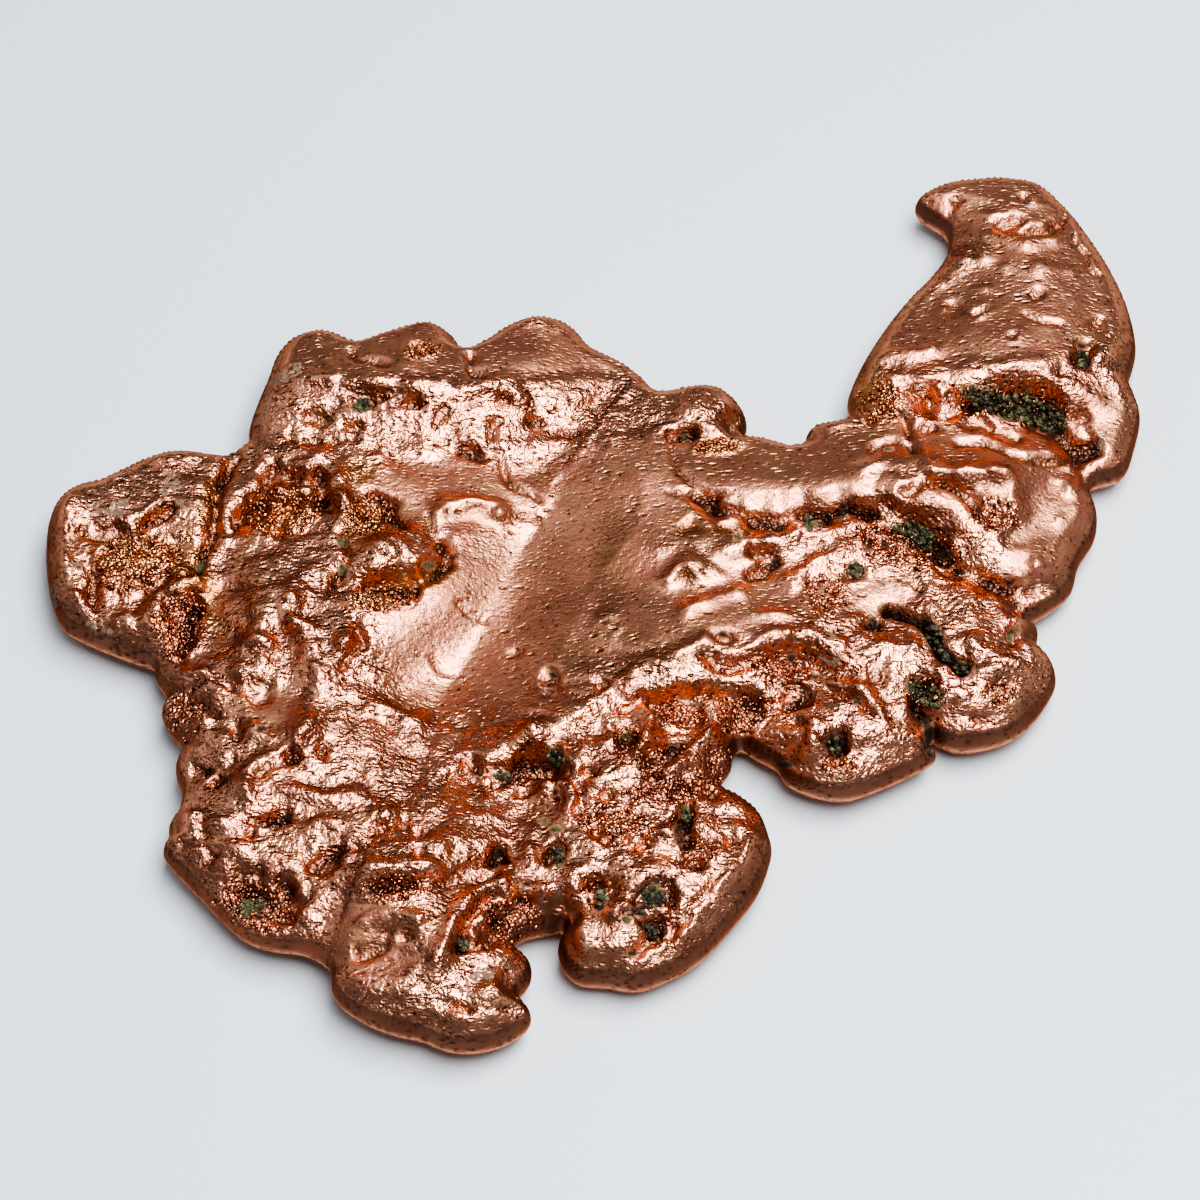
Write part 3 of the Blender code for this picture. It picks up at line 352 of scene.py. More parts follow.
# grooves and clefts: half width, depth, then the bottom's points
grooves = (
    (0.58, 1.7, ((-33.8, 16), (-35.2, 12.5), (-35.2, 8), (-36, 4.5), (-36.6, 1.6))),
    (0.43, 1, ((-36.4, -1.5), (-37, -4.5), (-37.8, -8.2))),
    (0.43, 1, ((-47.5, -6), (-43, -6.9), (-41.5, -8.2), (-40.7, -9.4))),
    (0.43, 1.4, ((-39.8, -11), (-37.5, -11.1), (-35.5, -11.2))),
    (0.43, 1.2, ((-36.5, -28), (-34.2, -28), (-33, -29))),
    (0.36, 1.5, ((-23.2, 5.6), (-23, 3.5), (-24, 0.2))),
    (0.43, 1.5, ((-20.5, 11.3), (-19.2, 10), (-19, 8.5), (-18.2, 6.7))),
    (0.43, 1.2, ((-21.7, -4), (-21.4, -6.5), (-23.4, -8.9))),
    (0.29, 0.9, ((-31.5, -7.6), (-30.4, -7.7), (-29.2, -8.1))),
    (0.36, 1, ((-29.8, -21), (-28.8, -19.6), (-27, -19))),
    (0.29, 0.8, ((-32.7, -34), (-33, -36.8))),
    (0.5, 1.6, ((-9.6, -33.9), (-11.3, -35.8), (-12.1, -38.2))),
    (0.36, 0.8, ((-12, -44.2), (-10.5, -45))),
    (0.43, 1.1, ((6, -32), (6.4, -35), (6.4, -37.6))),
    (0.29, 0.7, ((10, -31.5), (9.3, -33.3), (8.3, -35), (7.9, -36.8))),
    (0.29, 0.7, ((-2.5, -14.9), (-1, -14.1), (-0.2, -13.1))),
    (0.43, 1.2, ((4.8, -12), (7, -12.2), (9, -12.1), (12, -11.7), (14.5, -11.9))),
    (0.5, 4.2, ((26.4, -2.3), (29.7, -3.5), (30.5, -5.5), (31.2, -7.5), (33, -9.2))),
    (0.5, 3, ((28.9, -12.8), (29.4, -14.4), (29.8, -16), (29.8, -19))),
    (0.43, 1.2, ((20.5, -10.5), (21.8, -11.8), (23.3, -12.4), (24, -14.2))),
    (0.58, 1.5, ((30.5, 12.4), (32.5, 12), (34, 10.9), (35, 9.8), (35.3, 8.4))),
    (0.36, 0.8, ((25.3, 16), (28, 17), (29.6, 16.4))),
    (0.43, 0.9, ((34, 17), (37, 16.4), (39.5, 15.7), (41.5, 15.4), (44.5, 15.9),
                (45.9, 12.6))),
    (0.43, 0.8, ((25, 19.8), (28.6, 20.3), (29.5, 18), (29.8, 15.5))),
    (0.43, 1.1, ((35.2, 47.4), (34.3, 45.5), (33.8, 43.5), (33.7, 42.2))),
    (0.43, 0.9, ((40, 43), (43.4, 43), (45, 44.2), (45.4, 45.2))),
    (0.29, 0.6, ((41, 32.6), (42.5, 31.6), (44.2, 31.3))),
    (0.29, 0.7, ((46, 42.6), (47.5, 39), (48.3, 37.6))),
    (0.36, 0.5, ((6, 17.6), (6.8, 16), (7.5, 14), (9, 12.8), (10.2, 11.8), (10.5, 10.4))),
    (0.22, 0.5, ((6.5, 11.3), (8, 10.8))),
    (0.29, 0.7, ((-9.6, 16.2), (-9, 14), (-8, 12.4), (-6.5, 11), (-5.4, 10.3))),
    (0.36, 0.7, ((-15.2, 8.5), (-15, 7), (-13.8, 5.4))),
    (0.29, 0.6, ((-7.5, 8.5), (-5.5, 8))),
    (0.22, 0.5, ((-12.2, -1.5), (-10.3, -3.5))),
    (0.22, 0.5, ((-15.3, -7.5), (-14.5, -8.8), (-12.2, -9.6), (-12.3, -10.8))),
    (0.22, 0.5, ((-21, -8.2), (-18, -8.9))),
    (0.29, 0.6, ((-25, 16.8), (-22.5, 17.3))),
    (0.36, 0.7, ((-28.7, 18), (-27.8, 16.5))),
    (0.29, 0.6, ((-9.6, 18.5), (-9.5, 17.2))),
    (0.5, 0.9, ((-12.6, 27.6), (-12.2, 26.2), (-11, 24.8))),
    (0.43, 0.7, ((-23.2, 28.4), (-22.4, 27), (-20, 26.4))),
    (0.29, 0.5, ((-4.8, -10.7), (-2.7, -10.8))),
)

# pits and basins: x, y, half length, half width, turn, depth
pits = (
    # ear
    (-45, 6.4, 1.4, 0.7, 0, 1.1), (-43.2, 5.3, 0.6, 0.5, 0, 0.7), (-40.2, 8.2, 1.6, 0.7, 30, 1.2),
    (-46, 0, 0.6, 2, 0, 0.9), (-38, 4, 2, 1.6, 20, 0.7), (-44.8, -7.2, 0.6, 0.4, 0, 0.7),
    (-43, -7.8, 0.5, 0.4, 0, 0.7), (-37.5, -3.5, 2, 2.6, 0, 1.2),
    # left body
    (-29.2, 9.6, 3.3, 2.4, 12, 2.2), (-27.9, 8.5, 1.1, 1, 0, 1), (-20.6, 8.4, 1.9, 1.4, 40, 0.9),
    (-18.9, 0.6, 2.8, 0.9, -8, 1.7), (-15, 3, 1.5, 0.8, 20, 1.3), (-37, -13.5, 1.6, 1.9, 0, 1.3),
    (-30.6, -11.5, 1.2, 1, 30, 0.7), (-35, -20, 1.3, 0.8, 20, 1.4), (-33.4, -21.5, 0.9, 0.6, 0, 1),
    (-24.3, -18, 0.4, 0.8, 0, 0.9), (-27, -18.1, 0.9, 0.5, 15, 1.4),
    (-28.7, -25.1, 2.1, 0.9, 12, 1.4), (-34.7, -25.4, 0.4, 0.4, 0, 0.8),
    (-34.5, -26.5, 0.4, 0.4, 0, 0.8), (-30.5, -26.8, 0.4, 0.7, 0, 0.9),
    (-34, -29.4, 1.3, 0.6, -20, 0.9), (-29.5, -34.2, 4.4, 2.4, -20, 2),
    (-32, -16, 0.6, 0.6, 0, 0.7),
    # bottom left lobe
    (-23.5, -29.6, 2.2, 0.9, 35, 1.4), (-17.8, -31.7, 2.6, 1.2, 10, 1.7),
    (-11.5, -30.8, 3, 0.9, 18, 0.7), (-7.2, -34.9, 1.9, 1.4, 30, 1.5),
    (-8.6, -36.6, 1.4, 0.9, 60, 1.3), (-8.7, -28.7, 0.6, 0.5, 20, 1.6),
    (-3.3, -28.9, 0.5, 1, 0, 1.6), (-6.3, -31.8, 0.6, 0.4, 0, 1), (-19, -26, 0.5, 0.5, 0, 0.8),
    (-17, -25.8, 0.5, 0.4, 0, 0.8), (-15.5, -26.5, 0.4, 0.4, 0, 0.7),
    (-15.5, -28.3, 0.5, 0.4, 0, 0.7), (-16.5, -36.8, 0.5, 0.4, 0, 0.7),
    (-18.5, -36.5, 0.5, 0.4, 0, 0.7), (-19, -38.2, 1.2, 1.3, 0, 0.7),
    (-24.5, -38.8, 1, 0.7, 0, 0.9), (-7.6, -44.3, 0.7, 0.5, 0, 0.9),
    (-11.6, -37.9, 0.6, 0.6, 0, 0.8),
    # bottom middle lobe
    (0.4, -32.3, 0.5, 0.6, 0, 1.1), (0.3, -34, 0.6, 0.5, 0, 1.2), (1.8, -32, 0.4, 0.4, 0, 0.8),
    (4.7, -33, 1.3, 1.3, 0, 1.2), (3.2, -34.8, 0.9, 0.5, 30, 1), (4.6, -36.2, 0.6, 0.5, 0, 1.5),
    (4.8, -37.3, 0.5, 0.5, 0, 0.8), (3, -38.7, 0.7, 0.7, 0, 1), (7.8, -24.3, 0.4, 0.8, 0, 1.6),
    (7.2, -25.9, 0.6, 0.5, 0, 1.4), (7.3, -27.2, 0.5, 0.5, 0, 1.2), (8, -29.8, 0.4, 0.4, 0, 0.9),
    (11.4, -28, 0.4, 0.4, 0, 0.9), (8.8, -28, 1.2, 1, 0, 0.7), (8, -22.5, 1.8, 0.9, 10, 0.9),
    (2.7, -27.3, 0.4, 0.4, 0, 0.8), (4.2, -27.8, 0.4, 0.4, 0, 0.8), (1, -27, 0.4, 0.4, 0, 0.8),
    (-0.1, -26, 0.5, 0.4, 0, 0.8), (-1.6, -24.1, 1.2, 0.6, 0, 0.9),
    # centre
    (-4, -9.8, 1.1, 0.7, 0, 0.9), (-4.1, -11.3, 0.6, 0.4, 0, 0.8), (-7.3, -7.2, 0.5, 0.3, 20, 0.5),
    (-6, -19.2, 2.3, 1.5, 30, 2), (-3.8, -18.4, 0.8, 0.9, 0, 0.9), (-6.8, -22.1, 0.7, 0.5, 0, 0.9),
    (-8.3, -20.5, 0.7, 0.5, 0, 0.8),
    # lower right
    (2.7, -16.5, 1.2, 1.8, 0, 1.5), (2.6, -16, 0.5, 0.5, 0, 0.9), (0.7, -11, 0.4, 0.3, 0, 0.7),
    (7, -13.4, 2.2, 0.9, -24, 1.1), (5.8, -18.3, 2, 0.9, 38, 1), (6.9, -17.3, 0.5, 0.4, 0, 0.8),
    (13.2, -13.5, 2.4, 1.2, 38, 0.9), (10.6, -18.6, 0.9, 1.5, 0, 0.7),
    (5.5, -21.6, 1.9, 0.7, 10, 0.8), (1, -22.8, 0.4, 0.3, 0, 0.8), (-0.6, -20.3, 0.5, 0.4, 0, 0.8),
    (-1.5, -21.6, 0.4, 0.4, 0, 0.7), (16.4, -8.4, 2.1, 1.2, -12, 1.2),
    (19.6, -9.6, 0.6, 0.5, 0, 0.9), (11.3, -5, 0.6, 0.35, 0, 0.9), (25, -3.6, 0.6, 0.7, 0, 1.6),
    (18.3, -12, 1.6, 0.9, 30, 0.9), (21.3, -16.9, 1, 1.2, 0, 2.6), (21, -19.2, 0.9, 0.5, 0, 0.8),
    (22.5, -19.8, 0.7, 0.5, 0, 0.8), (16.8, -19.3, 0.9, 0.5, 0, 1), (18, -14.8, 0.5, 0.4, 0, 0.8),
    (33, -8.8, 0.6, 0.8, 0, 1.6), (29.6, -11.4, 1.8, 1.4, -15, 2.4),
    (35.8, -11.3, 1.1, 0.8, 0, 0.8), (36, -12.6, 0.7, 0.4, 0, 1), (34.6, -14.5, 0.7, 0.3, 0, 0.8),
    (37.8, -5.1, 0.5, 0.9, 0, 0.9), (38.2, -2.8, 0.4, 0.4, 0, 0.8), (38.7, -1, 0.4, 0.4, 0, 0.8),
    (37.7, 1.1, 0.6, 0.4, 0, 0.9),
    # right body
    (28.6, 6.6, 3.2, 1.4, -18, 1), (24.4, 9.6, 1.5, 0.7, -5, 1.5), (22.7, 9.6, 0.6, 0.5, 0, 1.2),
    (30.3, 5.1, 0.9, 0.8, 0, 1.1), (31.8, 4, 0.7, 0.5, 0, 1), (24.7, 4.7, 0.6, 0.5, 0, 0.8),
    (26.3, 5.2, 0.6, 0.5, 0, 0.7), (19.5, 7.6, 0.7, 0.8, 0, 0.9), (36.4, 8.3, 1.4, 1.3, 0, 0.6),
    (28.8, 11.2, 0.6, 0.5, 0, 1), (31.3, 15, 0.6, 0.4, 0, 0.6), (20.8, -0.5, 1.6, 1.7, 0, 0.5),
    (23.6, 2.2, 0.8, 0.9, 0, 0.7), (15.6, 2.6, 1.7, 0.6, 12, 0.9), (15, 4.3, 1.2, 0.4, 10, 1),
    (16.4, 3.3, 0.4, 0.4, 0, 0.7), (12, 6.9, 1.2, 0.4, 0, 0.8), (12.8, 5.9, 0.5, 0.4, 0, 0.7),
    # horn
    (36.6, 22.3, 2.5, 1.2, -4, 1.4), (41.3, 21, 2.5, 1.6, -22, 1.5),
    (35.5, 19.5, 1.3, 0.7, 10, 0.8), (45.5, 20, 0.6, 0.5, 0, 0.7), (46, 26.7, 0.6, 0.7, 0, 1.6),
    (46, 28.6, 0.7, 0.5, 0, 1), (48.8, 26.5, 0.5, 0.5, 0, 0.8), (35.5, 41, 0.7, 0.6, 0, 0.9),
    (41.2, 47.3, 0.5, 0.4, 0, 0.6), (39.2, 30.2, 0.6, 0.5, 0, 0.6), (36.7, 32.7, 0.7, 0.4, 20, 0.6),
    (34.5, 33.3, 0.9, 0.6, 30, 0.6), (42, 35.2, 0.7, 0.4, 0, 0.6), (47.8, 31, 0.6, 0.6, 0, 0.7),
    (40.5, 44.2, 2, 0.7, 0, 0.9), (31, 18.8, 0.7, 0.5, 0, 0.7), (38, 18, 0.8, 0.4, 0, 0.6),
    # upper body
    (-22, 21.4, 1, 0.9, 0, 0.8), (-22.3, 22.9, 0.9, 0.4, 0, 0.7), (-20.3, 22.3, 0.5, 0.4, 0, 0.7),
    (-17.2, 21.3, 0.8, 0.6, 0, 0.9), (-19.2, 22.4, 0.4, 0.4, 0, 0.7),
    (-22.8, 18.7, 0.6, 0.5, 0, 0.8), (-27, 19.7, 0.5, 0.6, 0, 0.8), (-9, 21.8, 0.9, 0.3, 0, 0.7),
    (-9.5, 19.2, 0.5, 0.5, 0, 0.7), (-5.8, 19, 0.6, 0.4, 0, 0.7), (-11.7, 15.8, 1, 0.7, 0, 1),
    (-14.8, 20.2, 0.5, 0.5, 0, 0.7), (-15, 19, 0.4, 0.4, 0, 0.6), (-2.6, 17.9, 1, 0.4, 20, 0.7),
    (-16.5, 28, 1.2, 0.7, 10, 0.9), (-25.8, 19.5, 0.5, 0.4, 0, 0.6),
    (-26.5, 16.8, 0.6, 0.4, 0, 0.7),
    # upper right
    (7.4, 17.8, 1.1, 0.5, 0, 1.3), (8.2, 17.7, 0.6, 0.4, 0, 0.8), (8.3, 7.3, 0.9, 1, 0, 0.5),
    (1, -4.5, 0.8, 1.1, 0, 0.4),
)

# knobs and beads: x, y, half length, half width, turn, height
knobs = (
    (-47.6, -0.5, 0.8, 0.8, 0, 0.9), (-27.5, 0.5, 1.8, 1.6, 0, 1), (-23.6, 9.4, 1, 1.8, 0, 0.7),
    (-19, 3.7, 3.3, 2.2, 2, 1.3), (-23, -6.3, 1, 1.6, 0, 1.2), (-32, -9.5, 1, 0.9, 0, 0.9),
    (-26.5, -15.5, 1.1, 2, 0, 1.1), (-33.3, -16.8, 1.2, 0.9, 0, 0.8),
    (-33, -25.2, 1.3, 1.1, 0, 1.1), (-31.5, -28.5, 1.3, 1, 0, 1), (-35.5, -25, 1, 1, 0, 0.9),
    (-21, -27, 0.9, 0.9, 0, 0.8), (-13, -27.5, 1.8, 1, 0, 0.9), (-5.8, -28.4, 1, 1.5, 0, 1.2),
    (-4.5, -32.5, 0.7, 0.6, 0, 0.8), (-5, -21.3, 0.8, 1.4, 0, 1.1), (5.7, -26.7, 1.1, 0.9, 0, 0.9),
    (10.3, -24.3, 1.2, 1, 0, 0.9), (12.5, -26.5, 1.8, 1.3, 0, 0.6), (1, -4.2, 1.2, 1.7, 0, 0.7),
    (16, -2.5, 1.4, 0.6, 0, 0.6), (26, -16.3, 3, 2.3, 0, 0.9), (18.5, -17, 1.6, 1.4, 0, 0.7),
    (36, -9.5, 1.6, 0.9, 0, 0.9), (34.3, -5.8, 1.4, 0.8, 0, 0.8), (39.4, -5.6, 0.7, 0.8, 0, 0.6),
    (38, 4.7, 1.2, 0.9, 0, 0.5), (44, 12.3, 1.5, 1.2, 0, 0.7), (37, 13, 3.2, 1.5, 0, 0.7),
    (48, 27.5, 1.6, 1.5, 0, 0.9), (42.6, 46.5, 0.9, 0.8, 0, 0.5), (38.3, 45.3, 1, 0.7, 0, 0.5),
    (42.6, 38.2, 1.1, 0.8, 0, 0.5), (45.2, 37.6, 0.6, 0.5, 0, 0.3), (33.3, 36.2, 0.8, 0.5, 0, 0.3),
    (37, 36.2, 0.8, 0.6, 0, 0.35), (38.8, 38.2, 0.6, 0.5, 0, 0.3), (33.6, 33.2, 0.7, 0.4, 30, 0.35),
    (36.8, 32.4, 0.8, 0.4, 20, 0.4), (39.4, 30.2, 0.8, 0.6, 0, 0.4), (30, 30.2, 0.6, 0.4, 0, 0.25),
    (-5.5, 16.5, 1.3, 1, 0, 0.6), (-9, 23.5, 2.2, 1, 0, 0.5), (13, 17.8, 1.2, 0.7, 0, 0.6),
    (9, 20.6, 2, 1, 0, 0.5), (12.4, 9.1, 1, 0.7, 0, 0.6), (21.5, 6.3, 1.6, 0.8, 20, 0.6),
    (24.6, -7.4, 1.1, 0.7, 20, 0.5), (26.8, -10.2, 0.9, 1.3, 10, 0.6),
    (23.6, -11, 1.5, 0.6, -20, 0.5), (27.2, -13.2, 1.2, 0.6, 0, 0.4), (28.4, -7, 0.7, 0.9, 0, 0.5),
    (23, 0.6, 1.6, 0.5, 15, 0.4), (27.6, 0.4, 1.2, 0.6, -10, 0.4), (40.4, 3.6, 0.8, 1.3, 10, 0.5),
    (42.6, 7.6, 0.9, 0.6, 20, 0.4),
)

# smooth, well-rubbed stretches, where the lumps fade out: x, y, half length, half width, turn
smoothStretches = (
    (-4, 0, 17, 8, 62), (-14, -3, 10, 6, 75), (-13, 11, 9, 4.5, 0), (12, 12.5, 17, 7, 8),
    (9, -1, 12, 6, 10), (24, -0.5, 5, 2.5, 0), (38, 12.5, 9, 5, 0), (42, 5, 5, 8, 0),
    (-8, 28, 22, 3.6, 0), (30, 17, 14, 2.5, 5), (38, 32, 12, 6.5, 20), (43, 38, 7, 10, 0),
    (38, 46, 9, 5, 0), (47.5, 18, 4, 6, 0), (-29, -13, 2.5, 2.5, 0), (-20, -37, 4, 5, 0),
)

# grainy metal in the hollows: x, y, half length, half width, turn
grainyPlaces = (
    (-42.5, 3, 4, 3.5, 20), (-38, -4, 2.6, 4, 0), (-29, 9, 3.8, 2.8, 10), (-21, 8.5, 2.6, 2.2, 30),
    (-19.5, -1, 3.2, 1.4, 0), (-37.2, -14, 2.2, 3, 0), (-30, -34, 3.8, 2.6, -20),
    (-7.4, -35.5, 2.6, 2.6, 30), (-17.8, -32, 3, 1.5, 10), (2.7, -17, 1.4, 2.2, 0),
    (7.2, -13.8, 2.6, 1.3, -24), (5.8, -18.8, 2.6, 1.3, 38), (13.3, -13.8, 3, 1.7, 38),
    (10.4, -19, 1.8, 2.4, 0), (6.5, -22, 4.5, 1.5, 5), (9, -28, 1.8, 1.4, 0),
    (1.5, -25.2, 4, 1.6, -10), (16.5, -8.8, 2.6, 1.6, -12), (21.5, -19.6, 2, 1, 0),
    (28.5, 5, 5, 2.6, -18), (36.6, 8.6, 2.2, 2.2, 0), (37, 22, 3.4, 1.8, -4),
    (41.5, 20.8, 3.2, 2.2, -22), (26.5, 22, 2, 2.4, 0), (20.8, -0.5, 2.2, 2.4, 0),
    (29.6, -11.4, 2.2, 1.8, -15), (36, -11.6, 1.8, 1.4, 0), (11.3, 16.6, 2.4, 1, 5),
    (-16.5, 28, 2, 1.1, 10),
)

relief = {
    "lumps": ((6.5, 0.5), (3.6, 0.45), (2.1, 0.26), (1.3, 0.13)),      # size and height
    "lumpsOnSmooth": 0.07,
    "crumples": ((2.6, 0.08), (1.5, 0.05)),
    "crumplesOnSmooth": 0.1,
    "wanderAcross": ((0.5, 3.0, 11), (0.3, 1.3, 13)),                  # amount, size and seed
    "wanderAlong": ((0.5, 3.0, 12), (0.3, 1.3, 14)),
    "uneven": ((0.4, 2.1, 16), (0.25, 0.95, 17)),
    "ridgeCrest": 0.8,          # how much of a ridge's or knob's height shifts its drawn place
    "knobCrest": 0.6,
    "ridgeShare": 0.75,
    "knobShare": 0.8,
    "pitShare": 0.9,
    "pitWall": 0.3,
    "pitFade": (0.45, 1.1),
    "grooveShare": 0.85,
    "grain": ((1.1, 0.36), (0.66, 0.24)),
    "smoothFade": (0.6, 1.3),   # where a stretch fades out, in shares of its half size
    "grainFade": (0.75, 1.2),
    "undersideLumps": ((9.0, 0.9), (4.5, 0.55), (2.2, 0.3)),
    "undersideInset": (0.5, 4.0),
    "atEdge": 0.35,             # share of the relief that is left at the edge
    "fullInset": 2.5,
}


def splineThrough(points, step):
    line = []
    count = len(points)
    for index in range(count):
        before, start, end, after = (np.array(points[(index + k) % count]) for k in (-1, 0, 1, 2))
        pieces = max(1, round(float(np.linalg.norm(end - start)) / step))
        for piece in range(pieces):
            t = piece / pieces
            line.append(0.5 * (2 * start + (end - before) * t
                               + (2 * before - 5 * start + 4 * end - after) * t ** 2
                               + (3 * start - before - 3 * end + after) * t ** 3))
    return np.array(line)


def outwardNormals(line):
    ahead = np.roll(line, -1, axis=0) - np.roll(line, 1, axis=0)
    normals = np.stack((ahead[:, 1], -ahead[:, 0]), axis=1)
    for _ in range(3):
        normals = normals + np.roll(normals, 1, axis=0) + np.roll(normals, -1, axis=0)
    return normals / np.linalg.norm(normals, axis=1, keepdims=True)


def trimmedOutline():
    line = splineThrough(outline, sheet["outlineStep"])
    normals = outwardNormals(line)
    back, front = np.clip(normals[:, 1:], 0, 1), np.clip(-normals[:, 1:], 0, 1)
    return line - normals * (sheet["trimBack"] * back + sheet["trimFront"] * front)


def nearestOnLine(places, line):
    distance = np.empty(len(places))
    index = np.empty(len(places), dtype=int)
    for start in range(0, len(places), 4000):
        part = slice(start, start + 4000)
        gaps = np.linalg.norm(places[part, None, :] - line[None, :, :], axis=2)
        index[part] = gaps.argmin(axis=1)
        distance[part] = gaps.min(axis=1)
    return distance, index


def hashed(i, j, seed):
    mixed = np.sin(i * 127.1 + j * 311.7 + seed * 74.7) * 43758.5453
    return mixed - np.floor(mixed)


def noise(x, y, size, seed):
    x, y = x / size, y / size
    i, j = np.floor(x), np.floor(y)
    u, v = x - i, y - j
    u, v = u * u * (3 - 2 * u), v * v * (3 - 2 * v)
    low = hashed(i, j, seed) * (1 - u) + hashed(i + 1, j, seed) * u
    high = hashed(i, j + 1, seed) * (1 - u) + hashed(i + 1, j + 1, seed) * u
    return 2 * (low * (1 - v) + high * v) - 1


def layered(x, y, layers):
    return sum(amount * noise(x, y, size, seed) for amount, size, seed in layers)


def cobbles(x, y, size, seed):
    x = x / size + 0.25 * noise(x, y, size * 1.3, seed + 5)
    y = y / size + 0.25 * noise(x * size, y, size * 1.3, seed + 6)
    i, j = np.floor(x), np.floor(y)
    near = np.full(x.shape, 9.0)
    for di in (-1, 0, 1):
        for dj in (-1, 0, 1):
            cx = i + di + 0.15 + 0.7 * hashed(i + di, j + dj, seed)
            cy = j + dj + 0.15 + 0.7 * hashed(i + di, j + dj, seed + 1)
            near = np.minimum(near, (x - cx) ** 2 + (y - cy) ** 2)
    return np.clip(1 - near / 0.7, 0, 1)


def oval(x, y, cx, cy, halfLength, halfWidth, turn):
    cos, sin = math.cos(math.radians(turn)), math.sin(math.radians(turn))
    along = ((x - cx) * cos + (y - cy) * sin) / halfLength
    across = ((y - cy) * cos - (x - cx) * sin) / halfWidth
    return np.hypot(along, across)


def distanceToPath(x, y, points):
    nearest = np.full(x.shape, 1e9)
    for (ax, ay), (bx, by) in zip(points, points[1:]):
        length = (bx - ax) ** 2 + (by - ay) ** 2
        t = np.clip(((x - ax) * (bx - ax) + (y - ay) * (by - ay)) / length, 0, 1)
        nearest = np.minimum(nearest, np.hypot(x - ax - t * (bx - ax), y - ay - t * (by - ay)))
    return nearest


def fade(value, start, end):
    t = np.clip((value - start) / (end - start), 0, 1)
    return t * t * (3 - 2 * t)


def sideOfPath(x, y, points):
    # +1 on the right of the path, walking along it, -1 on its left
    side = np.ones(x.shape)
    nearest = np.full(x.shape, 1e9)
    for (ax, ay), (bx, by) in zip(points, points[1:]):
        gap = distanceToPath(x, y, ((ax, ay), (bx, by)))
        turned = np.where((bx - ax) * (y - ay) - (by - ay) * (x - ax) > 0, -1.0, 1.0)
        side = np.where(gap < nearest, turned, side)
        nearest = np.minimum(nearest, gap)
    return side


def broadRelief(x, y):
    height = np.zeros(x.shape)
    for cx, cy, halfLength, halfWidth, turn, rise in swells:
        height += rise * np.exp(-oval(x, y, cx, cy, halfLength, halfWidth, turn) ** 2)
    for cx, cy, halfLength, halfWidth, turn, alongX, alongY in ramps:
        tilted = alongX * (x - cx) + alongY * (y - cy)
        height += tilted * np.exp(-oval(x, y, cx, cy, halfLength, halfWidth, turn) ** 2)
    for profile, points in troughs:
        aside = sideOfPath(x, y, points) * distanceToPath(x, y, points)
        height -= np.interp(aside, *zip(*profile))
    return height


def roughness(x, y):
    rough = np.ones(x.shape)
    for cx, cy, halfLength, halfWidth, turn in smoothStretches:
        rough *= fade(oval(x, y, cx, cy, halfLength, halfWidth, turn), *relief["smoothFade"])
    return rough


def graininess(x, y):
    grainy = np.zeros(x.shape)
    for cx, cy, halfLength, halfWidth, turn in grainyPlaces:
        reach = oval(x, y, cx, cy, halfLength, halfWidth, turn)
        grainy = np.maximum(grainy, 1 - fade(reach, *relief["grainFade"]))
    return grainy


def onSmooth(rough, name):
    # a share of the relief stays on the smooth stretches
    return relief[name] + (1 - relief[name]) * rough


def metalTexture(x, y):
    # cobbled lumps and fine crumples, and loose grain in the hollows
    rough = roughness(x, y)
    grainy = graininess(x, y)
    height = np.zeros(x.shape)
    for seed, (size, rise) in enumerate(relief["lumps"]):
        height += rise * (cobbles(x, y, size, seed * 9) - 0.4) * onSmooth(rough, "lumpsOnSmooth")
    for seed, (size, rise) in enumerate(relief["crumples"]):
        creased = 1 - 2 * np.abs(noise(x, y, size, 60 + seed))
        height += rise * creased * onSmooth(rough, "crumplesOnSmooth")
    for seed, (size, rise) in enumerate(relief["grain"]):
        height += rise * (cobbles(x, y, size, 80 + seed * 9) - 0.5) * grainy
    return height


def raisedFeatures(x, y):
    height = np.zeros(x.shape)
    for halfWidth, rise, points in ridges:
        rise *= relief["ridgeShare"]
        raised = y + sheet["lean"] * relief["ridgeCrest"] * rise
        height += rise * np.exp(-(distanceToPath(x, raised, points) / halfWidth) ** 2)
    for cx, cy, halfLength, halfWidth, turn, rise in knobs:
        rise *= relief["knobShare"]
        raised = y + sheet["lean"] * relief["knobCrest"] * rise
        height += rise * np.exp(-oval(x, raised, cx, cy, halfLength, halfWidth, turn) ** 2)
    return height


def sunkFeatures(x, y, uneven):
    depths = np.zeros(x.shape)
    for reach, drop, points in lips:
        aside = sideOfPath(x, y, points) * distanceToPath(x, y, points)
        depths += drop * uneven * np.interp(aside / reach, *zip(*lipProfile))
    for halfWidth, depth, points in grooves:
        depth *= relief["grooveShare"]
        depths += depth * uneven * np.exp(-(distanceToPath(x, y, points) / halfWidth) ** 2)
    for cx, cy, halfLength, halfWidth, turn, depth in pits:
        wide, narrow = halfLength + relief["pitWall"], halfWidth + relief["pitWall"]
        reach = oval(x, y, cx, cy, wide, narrow, turn) * uneven
        depths += relief["pitShare"] * depth * (1 - fade(reach, *relief["pitFade"]))
    return depths


def fineRelief(x, y):
    x = x + layered(x, y, relief["wanderAcross"])
    y = y + layered(x, y, relief["wanderAlong"])
    uneven = 1 + layered(x, y, relief["uneven"])
    return metalTexture(x, y) + raisedFeatures(x, y) * uneven - sunkFeatures(x, y, uneven)


def undersideRelief(x, y):
    height = np.zeros(x.shape)
    for seed, (size, rise) in enumerate(relief["undersideLumps"]):
        height += rise * (cobbles(x, y, size, 50 + seed * 9) - 0.5)
    return height


def clearance(x, y):
    # how far the sheet's underside hangs above the floor
    return sheet["clearance"] + sheet["warp"] * noise(x, y, sheet["warpSize"], 31)


def sheetHeight(x, y):
    return sheet["edgeBelow"] + clearance(x, y)


